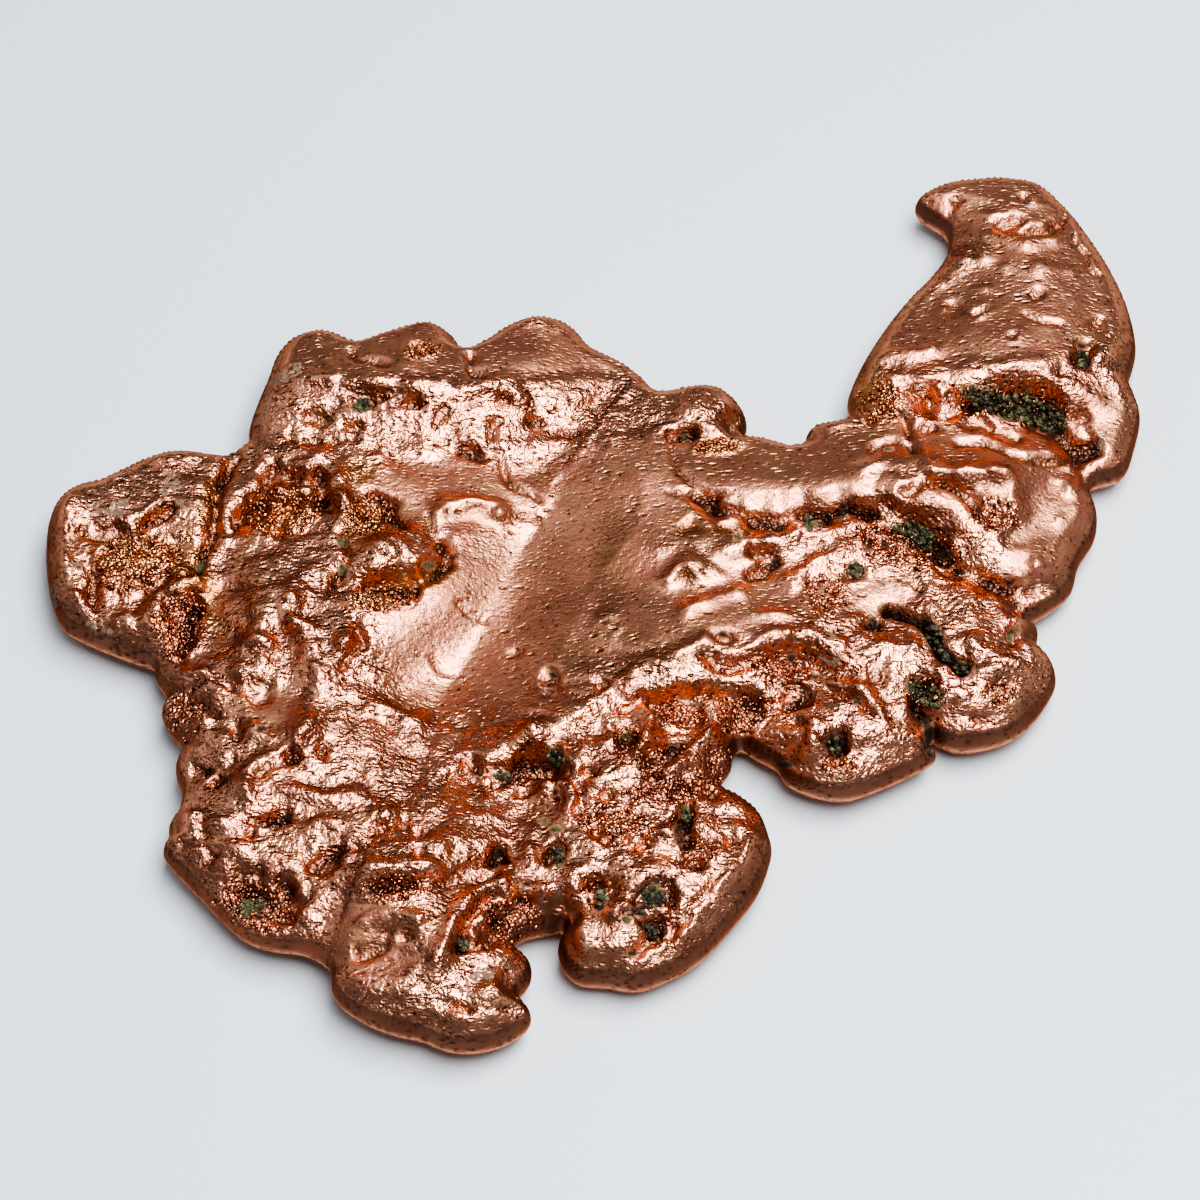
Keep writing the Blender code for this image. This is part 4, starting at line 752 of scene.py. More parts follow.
def footDrop(x, y):
    drop = np.zeros(x.shape)
    for cx, cy, reach in feet:
        drop = np.maximum(drop, np.exp(-((x - cx) ** 2 + (y - cy) ** 2) / reach ** 2))
    return drop * (clearance(x, y) + sheet["footDepth"])


def meshPoints(mesh):
    points = np.empty(len(mesh.vertices) * 3)
    mesh.vertices.foreach_get("co", points)
    return points.reshape(-1, 3)


def setPoints(mesh, points):
    mesh.vertices.foreach_set("co", points.ravel())
    mesh.update()


def keepResult(item):
    graph = bpy.context.evaluated_depsgraph_get()
    graph.update()
    result = bpy.data.meshes.new_from_object(item.evaluated_get(graph), depsgraph=graph)
    item.modifiers.clear()
    item.data = result


def addSlab(line):
    mesh = bpy.data.meshes.new("nuggetMetal")
    shape = bmesh.new()
    half = sheet["slabHalf"]
    base = [shape.verts.new((x * mm, y * mm, -half * mm)) for x, y in line]
    face = shape.faces.new(base)
    raised = bmesh.ops.extrude_face_region(shape, geom=[face])
    top = [item for item in raised["geom"] if isinstance(item, bmesh.types.BMVert)]
    bmesh.ops.translate(shape, verts=top, vec=(0, 0, 2 * half * mm))
    bmesh.ops.recalc_face_normals(shape, faces=shape.faces)
    shape.to_mesh(mesh)
    shape.free()
    nugget = bpy.data.objects.new("nuggetMetal", mesh)
    bpy.context.scene.collection.objects.link(nugget)
    remesh = nugget.modifiers.new("even mesh", "REMESH")
    remesh.mode = "VOXEL"
    remesh.voxel_size = sheet["meshSize"] * mm
    remesh.adaptivity = 0.0
    keepResult(nugget)
    return nugget


def roundedEdge(x, y, level, inset, outward):
    # the slab's square edge becomes round
    outness = np.clip(1 - inset / sheet["edgeRound"], 0, 1)
    roundOut = outness * np.sqrt(1 - level ** 2 / 2)
    roundLevel = level * np.sqrt(1 - outness ** 2 / 2)
    drawnIn = (outness - roundOut) * sheet["edgeRound"]
    return x - outward[:, 0] * drawnIn, y - outward[:, 1] * drawnIn, roundLevel


def topHeight(x, y, inset):
    half = sheet["edgeAbove"] + sheet["bodySwell"] * fade(inset, 0, sheet["bodySwellReach"])
    broad = np.zeros(x.shape)
    for _ in range(4):      # the relief is drawn where it is seen, so its own height moves it
        faceY = y + sheet["lean"] * (half + broad)
        broad = broadRelief(x, faceY)
    strength = relief["atEdge"] + (1 - relief["atEdge"]) * fade(inset, 0, relief["fullInset"])
    return half + (broad + fineRelief(x, faceY)) * strength


def shaped(points, line):
    level = np.clip(points[:, 2] / sheet["slabHalf"], -1, 1)
    inset, nearest = nearestOnLine(points[:, :2], line)
    outward = outwardNormals(line)[nearest]
    x, y, level = roundedEdge(points[:, 0], points[:, 1], level, inset, outward)
    middle = sheetHeight(x, y)
    belly = undersideRelief(x, y) * fade(inset, *relief["undersideInset"]) + footDrop(x, y)
    above = np.clip(level, 0, 1) * topHeight(x, y, inset)
    below = np.clip(-level, 0, 1) * (sheet["edgeBelow"] + belly)
    y = y - sheet["lean"] * (middle - sheet["drawnHeight"])
    return np.stack((x, y, np.maximum(middle + above - below, 0)), axis=1)


def thinned(nugget, level):
    # the underside gives up most of the faces
    faces = sum(len(face.vertices) - 2 for face in nugget.data.polygons)
    print("nugget faces before thinning", faces)
    group = nugget.vertex_groups.new(name="thinned")
    under = level < sheet["underLevel"]
    group.add(np.nonzero(under)[0].tolist(), 1.0, "REPLACE")
    group.add(np.nonzero(~under)[0].tolist(), sheet["topThinning"], "REPLACE")
    thinning = nugget.modifiers.new("fewer faces", "DECIMATE")
    thinning.ratio = min(1.0, sheet["triangles"] / faces)
    thinning.vertex_group = group.name
    keepResult(nugget)
    nugget.vertex_groups.clear()


def buildNugget():
    line = trimmedOutline()
    nugget = addSlab(line)
    slab = meshPoints(nugget.data) / mm
    points = shaped(slab, line)
    low, high = points.min(axis=0), points.max(axis=0)
    middle = (low + high) / 2
    middle[2] = low[2]
    setPoints(nugget.data, (points - middle) * mm)
    thinned(nugget, slab[:, 2])
    nugget.data.shade_smooth()
    return nugget, middle


nugget, shift = buildNugget()
print("nugget is shaped", len(nugget.data.polygons))


# what the metal shows where: masks kept on the mesh

# x, y, half length, half width, turn
goldenPlaces = (
    (-42.5, 3.5, 4, 3, 20), (-37.5, 2.5, 2.2, 3.4, 0), (-29.5, 9, 3.6, 2.6, 10),
    (-21, 8, 2.2, 2.4, 30), (-17, 1, 3.6, 1.6, 10), (-16.5, 28, 2, 1, 10),
    (26.2, 22.2, 1.9, 2.8, 0), (11, 16.4, 2.6, 1, 5), (12, 7, 2, 1, 0), (-35.5, -1, 1.4, 3, 0),
    (-36, 9.5, 1.2, 3, 0), (8.3, 7.3, 1.4, 1.6, 0), (43.2, 42.7, 1.8, 0.7, 0),
    (-20, -1.4, 2.4, 0.9, 0), (-22, 13.5, 2, 1.6, 0),
)
# places where the recess's painted shade and tarnish are taken back
brightenedPlaces = (
    (7, -14, 7, 3.6, 0), (13, -17, 5, 4, 0), (-30, 8, 4, 3, 20), (-20, 3, 5, 3.5, 0),
    (-3, -22, 4, 2.5, 0), (2, -28, 5, 3, 0), (-16, -29, 6, 3, 0), (-2, -34, 2.5, 2.5, 0),
    (32, 22.5, 3, 3, 0), (17, -8, 4, 2, 0),
)

redPlaces = (
    (-37.5, -5, 2.6, 3.4, 0), (-37, -14, 2.2, 4, 0), (-46, 0, 0.8, 2.2, 0), (-8, -11.5, 9, 3, 60),
    (-5, -25, 7, 2.6, 55), (-6.5, -3, 10, 2.4, 66), (38.5, 19, 4, 1.5, -15),
    (-7.4, -35.5, 3, 2.8, 30), (-17.8, -32, 3.4, 1.4, 10), (-23, -29, 3, 1.2, 35),
    (-11.5, -30.8, 3.6, 1.1, 18), (-28.7, -25.2, 2.6, 1.1, 10), (-31, -35, 5, 3, -25),
    (6.3, -35, 0.9, 3.4, 5), (2.6, -17.6, 1.4, 1.6, 0), (7, -13.8, 2.6, 1.2, -24),
    (6, -19.4, 3, 1.4, 30), (13.3, -14, 3, 1.7, 38), (10.6, -19.4, 1.8, 2.6, 0),
    (6.5, -22, 5, 1.4, 5), (9, -27.6, 2, 1.6, 0), (16.4, -9, 2.8, 1.5, -12),
    (18.5, -11.8, 2.2, 1.2, 30), (15, -20.6, 1.2, 1.8, 0), (-16.5, 28.2, 1.6, 0.7, 10),
    (38.5, 24, 4, 0.8, -4), (43.3, 22, 1, 1.6, 0), (36.2, 7.4, 2, 1, 0), (15.5, 2.4, 2.2, 0.8, 12),
    (3, 2, 6, 2.4, 62), (-21.4, -5.5, 0.9, 3, 10), (-14.5, 3.2, 1.6, 1, 30), (8, -22.4, 3, 1.2, 8),
    (-2.5, 18, 1.4, 0.5, 20), (-34, -29.3, 2, 0.9, -10), (-24.5, -38.6, 1.6, 1.2, 0),
    (-32.5, -21, 2.2, 1.4, 0), (-35.5, -37, 2, 3, -40),
)
olivePlaces = (
    (1.2, 2, 1.6, 7, 0), (3, -4.5, 4, 1.4, 0), (9, -4, 4, 1.6, 10), (4, -8.2, 5, 1.2, 8),
    (12.5, 3.5, 3, 1, 10), (-2, -7, 2, 2, 0),
)
greenPlaces = (
    (-21.9, 21.3, 1.1, 0.9, 0), (-23.1, 2.2, 0.5, 1.1, 10), (-23.3, 5.4, 0.5, 0.6, 0),
    (-15.4, 2.6, 0.7, 0.4, 0), (-30, -34.2, 1.1, 0.6, 0), (-11.6, -38, 0.6, 0.5, 0),
    (4.9, -32.4, 0.8, 0.7, 0), (2.6, -35.3, 0.5, 0.4, 0), (-3.5, -26, 0.7, 0.5, 0),
    (-4.8, -25.2, 0.5, 0.4, 0), (-8.3, -20.5, 0.9, 0.5, 0), (2.6, -16, 0.5, 0.5, 0),
    (37.5, -5.2, 0.5, 0.8, 0), (38.3, -4.6, 0.6, 0.3, 0), (19.5, 7.7, 0.6, 0.8, 0),
    (23.6, 2.2, 0.8, 0.9, 0), (34.9, 23.2, 0.7, 0.6, 0), (38, 23.2, 0.9, 0.5, 0),
    (37, 21.8, 1, 0.5, 0), (40.4, 22, 1, 0.8, 0), (38.6, 20.2, 0.9, 0.6, 0),
    (41, 20.3, 0.7, 0.6, 0), (42.7, 19.4, 1, 1, 0), (27.3, 16.2, 0.6, 0.3, 0),
    (-36.4, 2.6, 0.4, 0.6, 0), (8.2, 17.7, 0.4, 0.3, 0), (12.8, 5.9, 0.5, 0.4, 0),
    (29.2, -11, 1.4, 0.8, -15), (28.6, 6.6, 0.9, 0.4, 0), (45.8, 27.6, 0.5, 0.6, 0),
)
# holes painted near black as shade
holePlaces = (
    (-29.8, -15.3, 0.5, 0.4, 0), (-29.5, -35.3, 0.5, 0.3, 0), (-19.5, -32.4, 0.6, 0.3, 0),
    (-8.7, -28.7, 0.6, 0.5, 0), (-3.3, -28.9, 0.5, 1, 0), (-6.2, -31.9, 0.6, 0.3, 0),
    (-19.2, -40.8, 0.3, 0.3, 0), (-16.1, -40.5, 0.3, 0.3, 0), (-14.2, -40.4, 0.3, 0.3, 0),
    (0.4, -32.5, 0.5, 0.5, 0), (0.3, -34, 0.6, 0.4, 0), (3.4, -34.5, 0.7, 0.4, 20),
    (5.2, -33.4, 0.5, 0.6, 0), (4.6, -36.4, 0.6, 0.6, 0), (3, -38.8, 0.5, 0.5, 0),
    (7.8, -24.4, 0.4, 0.9, 0), (7.2, -25.9, 0.5, 0.5, 0), (7.3, -27.2, 0.5, 0.4, 0),
    (-3.7, -18.4, 0.8, 1.1, 0), (-6.8, -22.1, 0.4, 0.4, 0), (6.9, -17.2, 0.5, 0.4, 0),
    (-4.2, -11.3, 0.5, 0.3, 0), (-3.9, -9.6, 0.4, 0.3, 0), (17.5, -7.7, 0.5, 0.4, 0),
    (19.6, -9.6, 0.4, 0.4, 0), (23.3, -12.4, 0.5, 0.4, 0), (21.3, -17, 1, 1.3, 0),
    (16.8, -19.3, 0.8, 0.4, 0), (25, -3.6, 0.6, 0.7, 0), (29.8, -12.2, 1.4, 0.9, -15),
    (29.2, -9.8, 0.4, 0.3, 0), (33, -8.8, 0.7, 0.9, 0), (30.4, -5.2, 0.8, 2.4, 20),
    (28, -3, 1.6, 0.5, -15), (29.7, -16.2, 0.5, 2.2, 0), (31.8, -7.6, 0.6, 1.2, 30),
    (28.8, 7.4, 1, 0.4, 0), (30.4, 5.6, 0.8, 1.1, 20), (31.9, 4, 0.7, 0.5, 0),
    (24.7, 4.7, 0.5, 0.4, 0), (26.3, 5.2, 0.4, 0.4, 0), (22.6, 9.4, 0.6, 0.5, 0),
    (16.4, 3.3, 0.4, 0.4, 0), (37.9, 1, 0.5, 0.4, 0), (46, 26.7, 0.7, 0.8, 0),
    (46, 28.6, 0.6, 0.4, 0), (39.6, 21.4, 0.8, 0.5, 0), (43, 20.6, 0.8, 0.6, 0),
    (36.2, 22.7, 0.7, 0.4, 0), (42, 18.6, 0.7, 0.4, 0), (11.3, -5, 0.6, 0.3, 0),
)
crustPlaces = (
    (-44, 9.4, 2.3, 1.2, 5), (-39.8, 12.2, 1.1, 1.7, 0), (-38, 9.7, 1.7, 0.7, 0),
    (-49.8, -1, 0.5, 2, 0), (-48.4, 2.5, 1.2, 0.7, 0), (-46, -4, 0.8, 0.8, 0),
    (-44.3, -4.7, 1.4, 0.5, 0), (-42.7, -3.2, 0.5, 0.9, 0), (-45, 6, 1.5, 0.5, 0),
    (-29, 25.4, 1, 1.7, -15), (-30.4, 24.3, 0.8, 0.8, 0), (-31.2, 21.6, 0.5, 1.6, 0),
    (-28, 23.4, 0.8, 0.7, 0), (-28.4, 19.8, 0.5, 0.4, 0), (-10, -41, 1.6, 0.9, 0),
    (-11.3, -42.6, 0.6, 0.9, 0), (-7.3, -40.7, 0.4, 0.4, 0), (-12.3, -40.6, 0.4, 0.3, 0),
    (-1, -38, 0.7, 1.1, 0), (9.1, -12.6, 0.8, 0.4, 0), (21, -8, 1, 0.6, 0),
    (20.6, -0.3, 1.2, 1.3, 0), (22.8, 8.8, 0.7, 0.5, 0), (47.3, 16.8, 0.5, 1.1, 0),
    (21.3, -5.3, 0.5, 0.4, 0), (25.2, 9.7, 0.6, 0.4, 0), (-31.4, -36.1, 0.5, 0.3, 0),
    (-27.4, -3, 0.4, 0.3, 0), (-43, 12.9, 0.6, 0.3, 0), (37.4, -4.4, 0.5, 0.5, 0),
    (31.5, -3.4, 0.5, 0.4, 0), (26, 0.8, 0.8, 0.5, 0),
)


placeFade = (0.4, 1.5)      # where a place fades out, in shares of its half size


def placed(x, y, places):
    amount = np.zeros(x.shape)
    for cx, cy, halfLength, halfWidth, turn in places:
        reach = oval(x, y, cx, cy, halfLength, halfWidth, turn)
        amount = np.maximum(amount, 1 - fade(reach, *placeFade))
    return amount


def drawnPlaces(points):
    x, y = points[:, 0] + shift[0], points[:, 1] + shift[1]
    flatY = y
    for _ in range(3):
        flatY = y + sheet["lean"] * (sheetHeight(x, flatY) - sheet["drawnHeight"])
    return x, y, y + sheet["lean"] * (points[:, 2] - sheet["drawnHeight"]), flatY


def keepMask(mesh, name, amount):
    layer = mesh.attributes.new(name, "FLOAT", "POINT")
    layer.data.foreach_set("value", np.ascontiguousarray(amount, dtype=np.float32))


def hollowness(mesh, heights, rounds):
    # how far each point lies below the smoothed surface around it
    ends = np.empty(len(mesh.edges) * 2, dtype=np.int32)
    mesh.edges.foreach_get("vertices", ends)
    first, second = ends.reshape(-1, 2).T
    total = len(heights)
    neighbours = np.bincount(ends, minlength=total)
    smoothed = heights
    for _ in range(rounds):
        ahead = np.bincount(first, smoothed[second], total)
        behind = np.bincount(second, smoothed[first], total)
        smoothed = (ahead + behind) / neighbours
    return smoothed - heights


spread = {
    "upFacing": (-0.35, -0.05),      # how far up a face has to look to show what lies on top
    "creaseRounds": 5,
    "creaseDepth": (0.025, 0.14),    # mm
    "creaseShare": 0.45,
    "hollowRounds": 60,
    "hollowDepth": (0.25, 1.1),
    "steepFacing": (0.58, 0.82),
    "steepInset": (2.0, 3.5),        # mm in from the edge
    "steepShare": 0.45,
    "brightenedShare": 0.55,
    "sideInset": (0.6, 2.6),
    "sideFacing": (0.5, 0.85),
    "sideBelow": (-0.25, 0.15),
    "ragged": ((0.5, 0.9, 41), (0.35, 0.45, 42)),      # amount, size in mm and seed
    "raggedReach": (0.02, 0.3),
}


def addMasks(mesh):
    points = meshPoints(mesh) / mm
    normals = np.empty(len(mesh.vertices) * 3)
    mesh.vertices.foreach_get("normal", normals)
    facing = normals.reshape(-1, 3)[:, 2]
    up = fade(facing, *spread["upFacing"])
    x, y, faceY, flatY = drawnPlaces(points)
    inset, _ = nearestOnLine(np.stack((x, flatY), axis=1), trimmedOutline())
    # recess: painted shade and tarnish in creases and hollows, painted shade on steep walls
    keepMask(mesh, "recess", up * tarnishAndShade(mesh, points[:, 2].copy(), facing, inset)
             * (1 - spread["brightenedShare"] * placed(x, faceY, brightenedPlaces)))
    # side: the steep rim band near the edge, which the side colour paints with shade
    keepMask(mesh, "side", (1 - fade(inset, *spread["sideInset"]))
             * (1 - fade(facing, *spread["sideFacing"])) * fade(facing, *spread["sideBelow"]))
    keepMask(mesh, "grain", graininess(x, faceY) * up)
    keepMask(mesh, "rubbed", (1 - roughness(x, faceY)) * up)
    for name, places in (("golden", goldenPlaces), ("red", redPlaces), ("olive", olivePlaces)):
        keepMask(mesh, name, placed(x, faceY, places) * up)
    ragged = layered(x, faceY, spread["ragged"])
    # the hole mask marks where holes are painted near black as shade
    for name, places, raggedShare, start, end in (
            ("green", greenPlaces, 1.0, 0.4, 0.6), ("crust", crustPlaces, 1.2, 0.45, 0.6),
            ("hole", holePlaces, 0.6, 0.3, 0.65)):
        patch = placed(x, faceY, places)
        patch += raggedShare * ragged * fade(patch, *spread["raggedReach"])
        keepMask(mesh, name, fade(patch, start, end) * up)


def tarnishAndShade(mesh, heights, facing, inset):
    # painted shade and tarnish: the metal is painted dark in creases and hollows, partly oxide and
    # partly painted shade, and on steep walls away from the edge as painted shade
    crease = fade(hollowness(mesh, heights, spread["creaseRounds"]), *spread["creaseDepth"])
    hollow = fade(hollowness(mesh, heights, spread["hollowRounds"]), *spread["hollowDepth"])
    steep = (1 - fade(facing, *spread["steepFacing"])) * fade(inset, *spread["steepInset"])
    return np.maximum(np.maximum(hollow, spread["creaseShare"] * crease), spread["steepShare"] * steep)


addMasks(nugget.data)
print("masks are on the mesh")



# node helpers: each adds nodes to one tree and gives the last one's output

def newGroup(name, inputs, output):
    group = bpy.data.node_groups.new(name, "ShaderNodeTree")
    group.interface.new_socket("Vector", in_out="INPUT", socket_type="NodeSocketVector")
    for socketName, value in inputs:
        socket = group.interface.new_socket(socketName, in_out="INPUT", socket_type="NodeSocketFloat")
        socket.default_value = value
    group.interface.new_socket(output, in_out="OUTPUT", socket_type="NodeSocketFloat")
    entry = group.nodes.new("NodeGroupInput")
    leave = group.nodes.new("NodeGroupOutput")
    return group, entry.outputs, leave.inputs


def mathNode(tree, operation, first, second, clamp=False):
    node = tree.nodes.new("ShaderNodeMath")
    node.operation = operation
    node.use_clamp = clamp
    for index, value in enumerate((first, second)):
        if isinstance(value, (int, float)):
            node.inputs[index].default_value = value
        else:
            tree.links.new(value, node.inputs[index])
    return node.outputs[0]


def product(tree, first, second, clamp=False):
    return mathNode(tree, "MULTIPLY", first, second, clamp)


def rest(tree, value):
    # what is left of 1
    return mathNode(tree, "SUBTRACT", 1.0, value)


def larger(tree, first, second):
    return mathNode(tree, "MAXIMUM", first, second)


def above(tree, value, start, gain):
    return product(tree, mathNode(tree, "SUBTRACT", value, start), gain, clamp=True)


def spanned(tree, value, low, high):
    node = tree.nodes.new("ShaderNodeMapRange")
    for socketName, source in (("Value", value), ("From Min", low), ("From Max", high)):
        tree.links.new(source, node.inputs[socketName])
    return node.outputs["Result"]


def texture(tree, kind, entry):
    # a texture whose features are Size mm across
    node = tree.nodes.new(kind)
    tree.links.new(entry["Vector"], node.inputs["Vector"])
    tree.links.new(mathNode(tree, "DIVIDE", 1 / mm, entry["Size"]), node.inputs["Scale"])
    return node


def patchesGroup():
    # cloudy patches of one size, from Low to High of the noise
    group, entry, leave = newGroup("patches", (("Size", 5.0), ("Low", 0.4), ("High", 0.6)), "Mask")
    cloud = texture(group, "ShaderNodeTexNoise", entry)
    cloud.inputs["Detail"].default_value = 2.0
    cloud.inputs["Roughness"].default_value = 0.6
    group.links.new(spanned(group, cloud.outputs["Fac"], entry["Low"], entry["High"]), leave["Mask"])
    return group


def grainsGroup():
    # packed grains, high in the middle of each
    group, entry, leave = newGroup("packedGrains", (("Size", 0.5),), "Height")
    cells = texture(group, "ShaderNodeTexVoronoi", entry)
    group.links.new(rest(group, cells.outputs["Distance"]), leave["Height"])
    return group


def pitsGroup():
    # scattered round pits, 1 outside them and 0 at their bottoms
    group, entry, leave = newGroup("finePits", (("Size", 1.0), ("Bottom", 0.1), ("Rim", 0.34)), "Height")
    cells = texture(group, "ShaderNodeTexVoronoi", entry)
    depth = spanned(group, cells.outputs["Distance"], entry["Bottom"], entry["Rim"])
    group.links.new(depth, leave["Height"])
    return group


patches = patchesGroup()
finePits = pitsGroup()
packedGrains = grainsGroup()


def place(tree, group, vector, values):
    node = tree.nodes.new("ShaderNodeGroup")
    node.node_tree = group
    tree.links.new(vector, node.inputs["Vector"])
    for name, value in values.items():
        node.inputs[name].default_value = value
    return node.outputs[0]


def mixColors(tree, amount, first, second):
    node = tree.nodes.new("ShaderNodeMix")
    node.data_type = "RGBA"
    tree.links.new(amount, node.inputs[0])
    for index, value in ((6, first), (7, second)):      # the colour sockets A and B
        if isinstance(value, tuple):
            node.inputs[index].default_value = (*value, 1)
        else:
            tree.links.new(value, node.inputs[index])
    return node.outputs[2]


def mask(tree, name, share=1.0):
    node = tree.nodes.new("ShaderNodeAttribute")
    node.attribute_name = name
    return product(tree, node.outputs["Fac"], share)


def bump(tree, height, distance, under=None):
    node = tree.nodes.new("ShaderNodeBump")
    node.inputs["Distance"].default_value = distance * mm
    tree.links.new(height, node.inputs["Height"])
    if under is not None:
        tree.links.new(under, node.inputs["Normal"])
    return node.outputs["Normal"]


def newMaterial(name):
    material = bpy.data.materials.new(name)
    material.use_nodes = True
    tree = material.node_tree
    vector = tree.nodes.new("ShaderNodeTexCoord").outputs["Object"]
    return material, tree, tree.nodes["Principled BSDF"], vector


# colours, then sizes and depths in mm, shares and roughness
copper = {
    "bright": (0.76, 0.34, 0.22),
    "brown": (0.62, 0.26, 0.17),
    "cream": (0.80, 0.41, 0.24),
    "speck": (0.17, 0.06, 0.035),
    # side: painted shade on the steep rim band
    "side": (0.085, 0.036, 0.025),
    "red": (0.34, 0.12, 0.075),
    "golden": (0.56, 0.25, 0.10),
    "olive": (0.24, 0.13, 0.065),
    # recess: dark colour for painted shade and tarnish in creases, hollows and on steep walls
    "recess": (0.075, 0.040, 0.030),
    "crust": (0.24, 0.19, 0.14),
    "crustDark": (0.07, 0.045, 0.03),
    "green": (0.014, 0.017, 0.010),
    "greenPale": (0.13, 0.13, 0.06),
    # hole: near black, painted shade in deep holes
    "hole": (0.010, 0.009, 0.006),
    "edgeTint": (0.60, 0.42, 0.36),      # the metal seen at a slant
    "clouds": {"Size": 6.0, "Low": 0.38, "High": 0.66},
    "warmth": {"Size": 2.6, "Low": 0.42, "High": 0.7},
    "warmthShare": 0.8,
    "fine": {"Size": 0.45, "Low": 0.25, "High": 0.75},
    "flecks": (0.74, 6.0),               # start and gain
    # the side entry paints shade on the rim band; the others are colour tints
    "stainsAndShade": (("side", 0.85), ("red", 0.4), ("golden", 0.7), ("olive", 0.45)),
    # how strongly the recess mask paints shade and tarnish
    "tarnishAndShadeGain": 1.25,
    "tarnishAndShadeShare": 0.93,
    "sparkle": (0.62, 5.0),              # grain tops keep the bare metal colour, the gaps between grains keep the painted shade
    "sparkleShare": 0.7,
    "broken": {"Size": 0.55, "Low": 0.3, "High": 0.7},
    "crusted": (1.35, 4.0),
    "holeShare": 0.95,
    "pitShape": (0.6, 1.3, 1.0),
    "pits": {"Size": 1.0, "Bottom": 0.08, "Rim": 0.32},
    "pitCrowds": {"Size": 5.0, "Low": 0.5, "High": 0.62},
    "pitDepth": 0.12,
    "smallPits": {"Size": 0.55, "Bottom": 0.1, "Rim": 0.42},
    "smallPitCrowds": {"Size": 1.8, "Low": 0.42, "High": 0.5},
    "smallPitDepth": 0.08,
    # how far pit bottoms take the dark speck colour
    "pitDarkening": 0.8,
    "dents": {"Size": 0.42, "Low": 0.2, "High": 0.8},
    "dentDepth": 0.09,
    "hammered": {"Size": 1.1, "Low": 0.2, "High": 0.8},
    "hammerDepth": 0.10,
    "grains": {"Size": 0.34},
    "grainDepth": 0.2,
    "grainInRecess": 0.9,
    "rubbedAway": {"smallPits": 0.75, "hammered": 0.8, "dents": 0.6},
    "calmSide": 0.7,
    "polish": 0.24,
    "cloudRoughness": 0.08,
    "masksRoughness": (("recess", 0.12), ("rubbed", 0.1), ("side", 0.22)),
    "stoneRoughness": 0.5,
}


def unrubbed(tree, name):
    # how much of a pattern is left where the metal is rubbed
    return rest(tree, mask(tree, "rubbed", copper["rubbedAway"][name]))


def pitPatterns(tree, vector):
    longer = tree.nodes.new("ShaderNodeMapping")
    longer.inputs["Scale"].default_value = copper["pitShape"]
    tree.links.new(vector, longer.inputs["Vector"])
    crowds = place(tree, patches, vector, copper["pitCrowds"])
    pits = place(tree, finePits, longer.outputs[0], copper["pits"])
    smallCrowds = place(tree, patches, vector, copper["smallPitCrowds"])
    smallCrowds = product(tree, smallCrowds, unrubbed(tree, "smallPits"))
    smallPits = place(tree, finePits, longer.outputs[0], copper["smallPits"])
    return larger(tree, pits, rest(tree, crowds)), larger(tree, smallPits, rest(tree, smallCrowds))


def metalColor(tree, vector, clouds, fine, pitted, grainTops):
    color = mixColors(tree, clouds, copper["bright"], copper["brown"])
    warmth = product(tree, place(tree, patches, vector, copper["warmth"]), copper["warmthShare"])
    color = mixColors(tree, warmth, color, copper["cream"])
    color = mixColors(tree, above(tree, fine, *copper["flecks"]), color, copper["speck"])
    # pit bottoms take the dark speck colour
    color = mixColors(tree, product(tree, pitted, copper["pitDarkening"]), color, copper["speck"])
    # colour tints, and painted shade on the rim band from the side mask
    for name, share in copper["stainsAndShade"]:
        color = mixColors(tree, mask(tree, name, share), color, copper[name])
    # the recess's painted shade is left off grain tops and stays in the gaps between grains
    sparkle = product(tree, above(tree, grainTops, *copper["sparkle"]), copper["sparkleShare"])
    # the recess mask paints shade and tarnish over the metal colour
    recess = mask(tree, "recess", copper["tarnishAndShadeGain"])
    tarnishedAndShaded = product(tree, recess, rest(tree, sparkle), clamp=True)
    return mixColors(tree, product(tree, tarnishedAndShaded, copper["tarnishAndShadeShare"]), color, copper["recess"])


def depositsAndShadedHolesOn(tree, vector, fine, color):
    # grey crust and green mineral over the metal, holes painted near black as shade, and where any of
    # them lies
    broken = place(tree, patches, vector, copper["broken"])
    crust = above(tree, mathNode(tree, "ADD", mask(tree, "crust"), broken), *copper["crusted"])
    green = mask(tree, "green")
    hole = mask(tree, "hole", copper["holeShare"])
    crustColor = mixColors(tree, fine, copper["crust"], copper["crustDark"])
    greenColor = mixColors(tree, fine, copper["greenPale"], copper["green"])
    color = mixColors(tree, crust, color, crustColor)
    color = mixColors(tree, green, color, greenColor)
    color = mixColors(tree, hole, color, copper["hole"])
    return color, larger(tree, larger(tree, crust, green), hole)


def copperRoughness(tree, clouds, stoneAndHoles):
    rough = mathNode(tree, "ADD", product(tree, clouds, copper["cloudRoughness"]), copper["polish"])
    for name, share in copper["masksRoughness"]:
        rough = mathNode(tree, "ADD", rough, mask(tree, name, share))
    return mathNode(tree, "ADD", rough, product(tree, stoneAndHoles, copper["stoneRoughness"]), clamp=True)


def copperNormal(tree, vector, pits, smallPits, grainTops):
    calm = rest(tree, mask(tree, "side", copper["calmSide"]))
    hammered = place(tree, patches, vector, copper["hammered"])
    hammered = product(tree, product(tree, hammered, unrubbed(tree, "hammered")), calm)
    dents = place(tree, patches, vector, copper["dents"])
    dents = product(tree, product(tree, dents, unrubbed(tree, "dents")), calm)
    grainy = larger(tree, mask(tree, "grain"), mask(tree, "recess", copper["grainInRecess"]))
    normal = bump(tree, hammered, copper["hammerDepth"])
    normal = bump(tree, pits, copper["pitDepth"], normal)
    normal = bump(tree, smallPits, copper["smallPitDepth"], normal)
    normal = bump(tree, dents, copper["dentDepth"], normal)
    return bump(tree, product(tree, grainTops, grainy), copper["grainDepth"], normal)


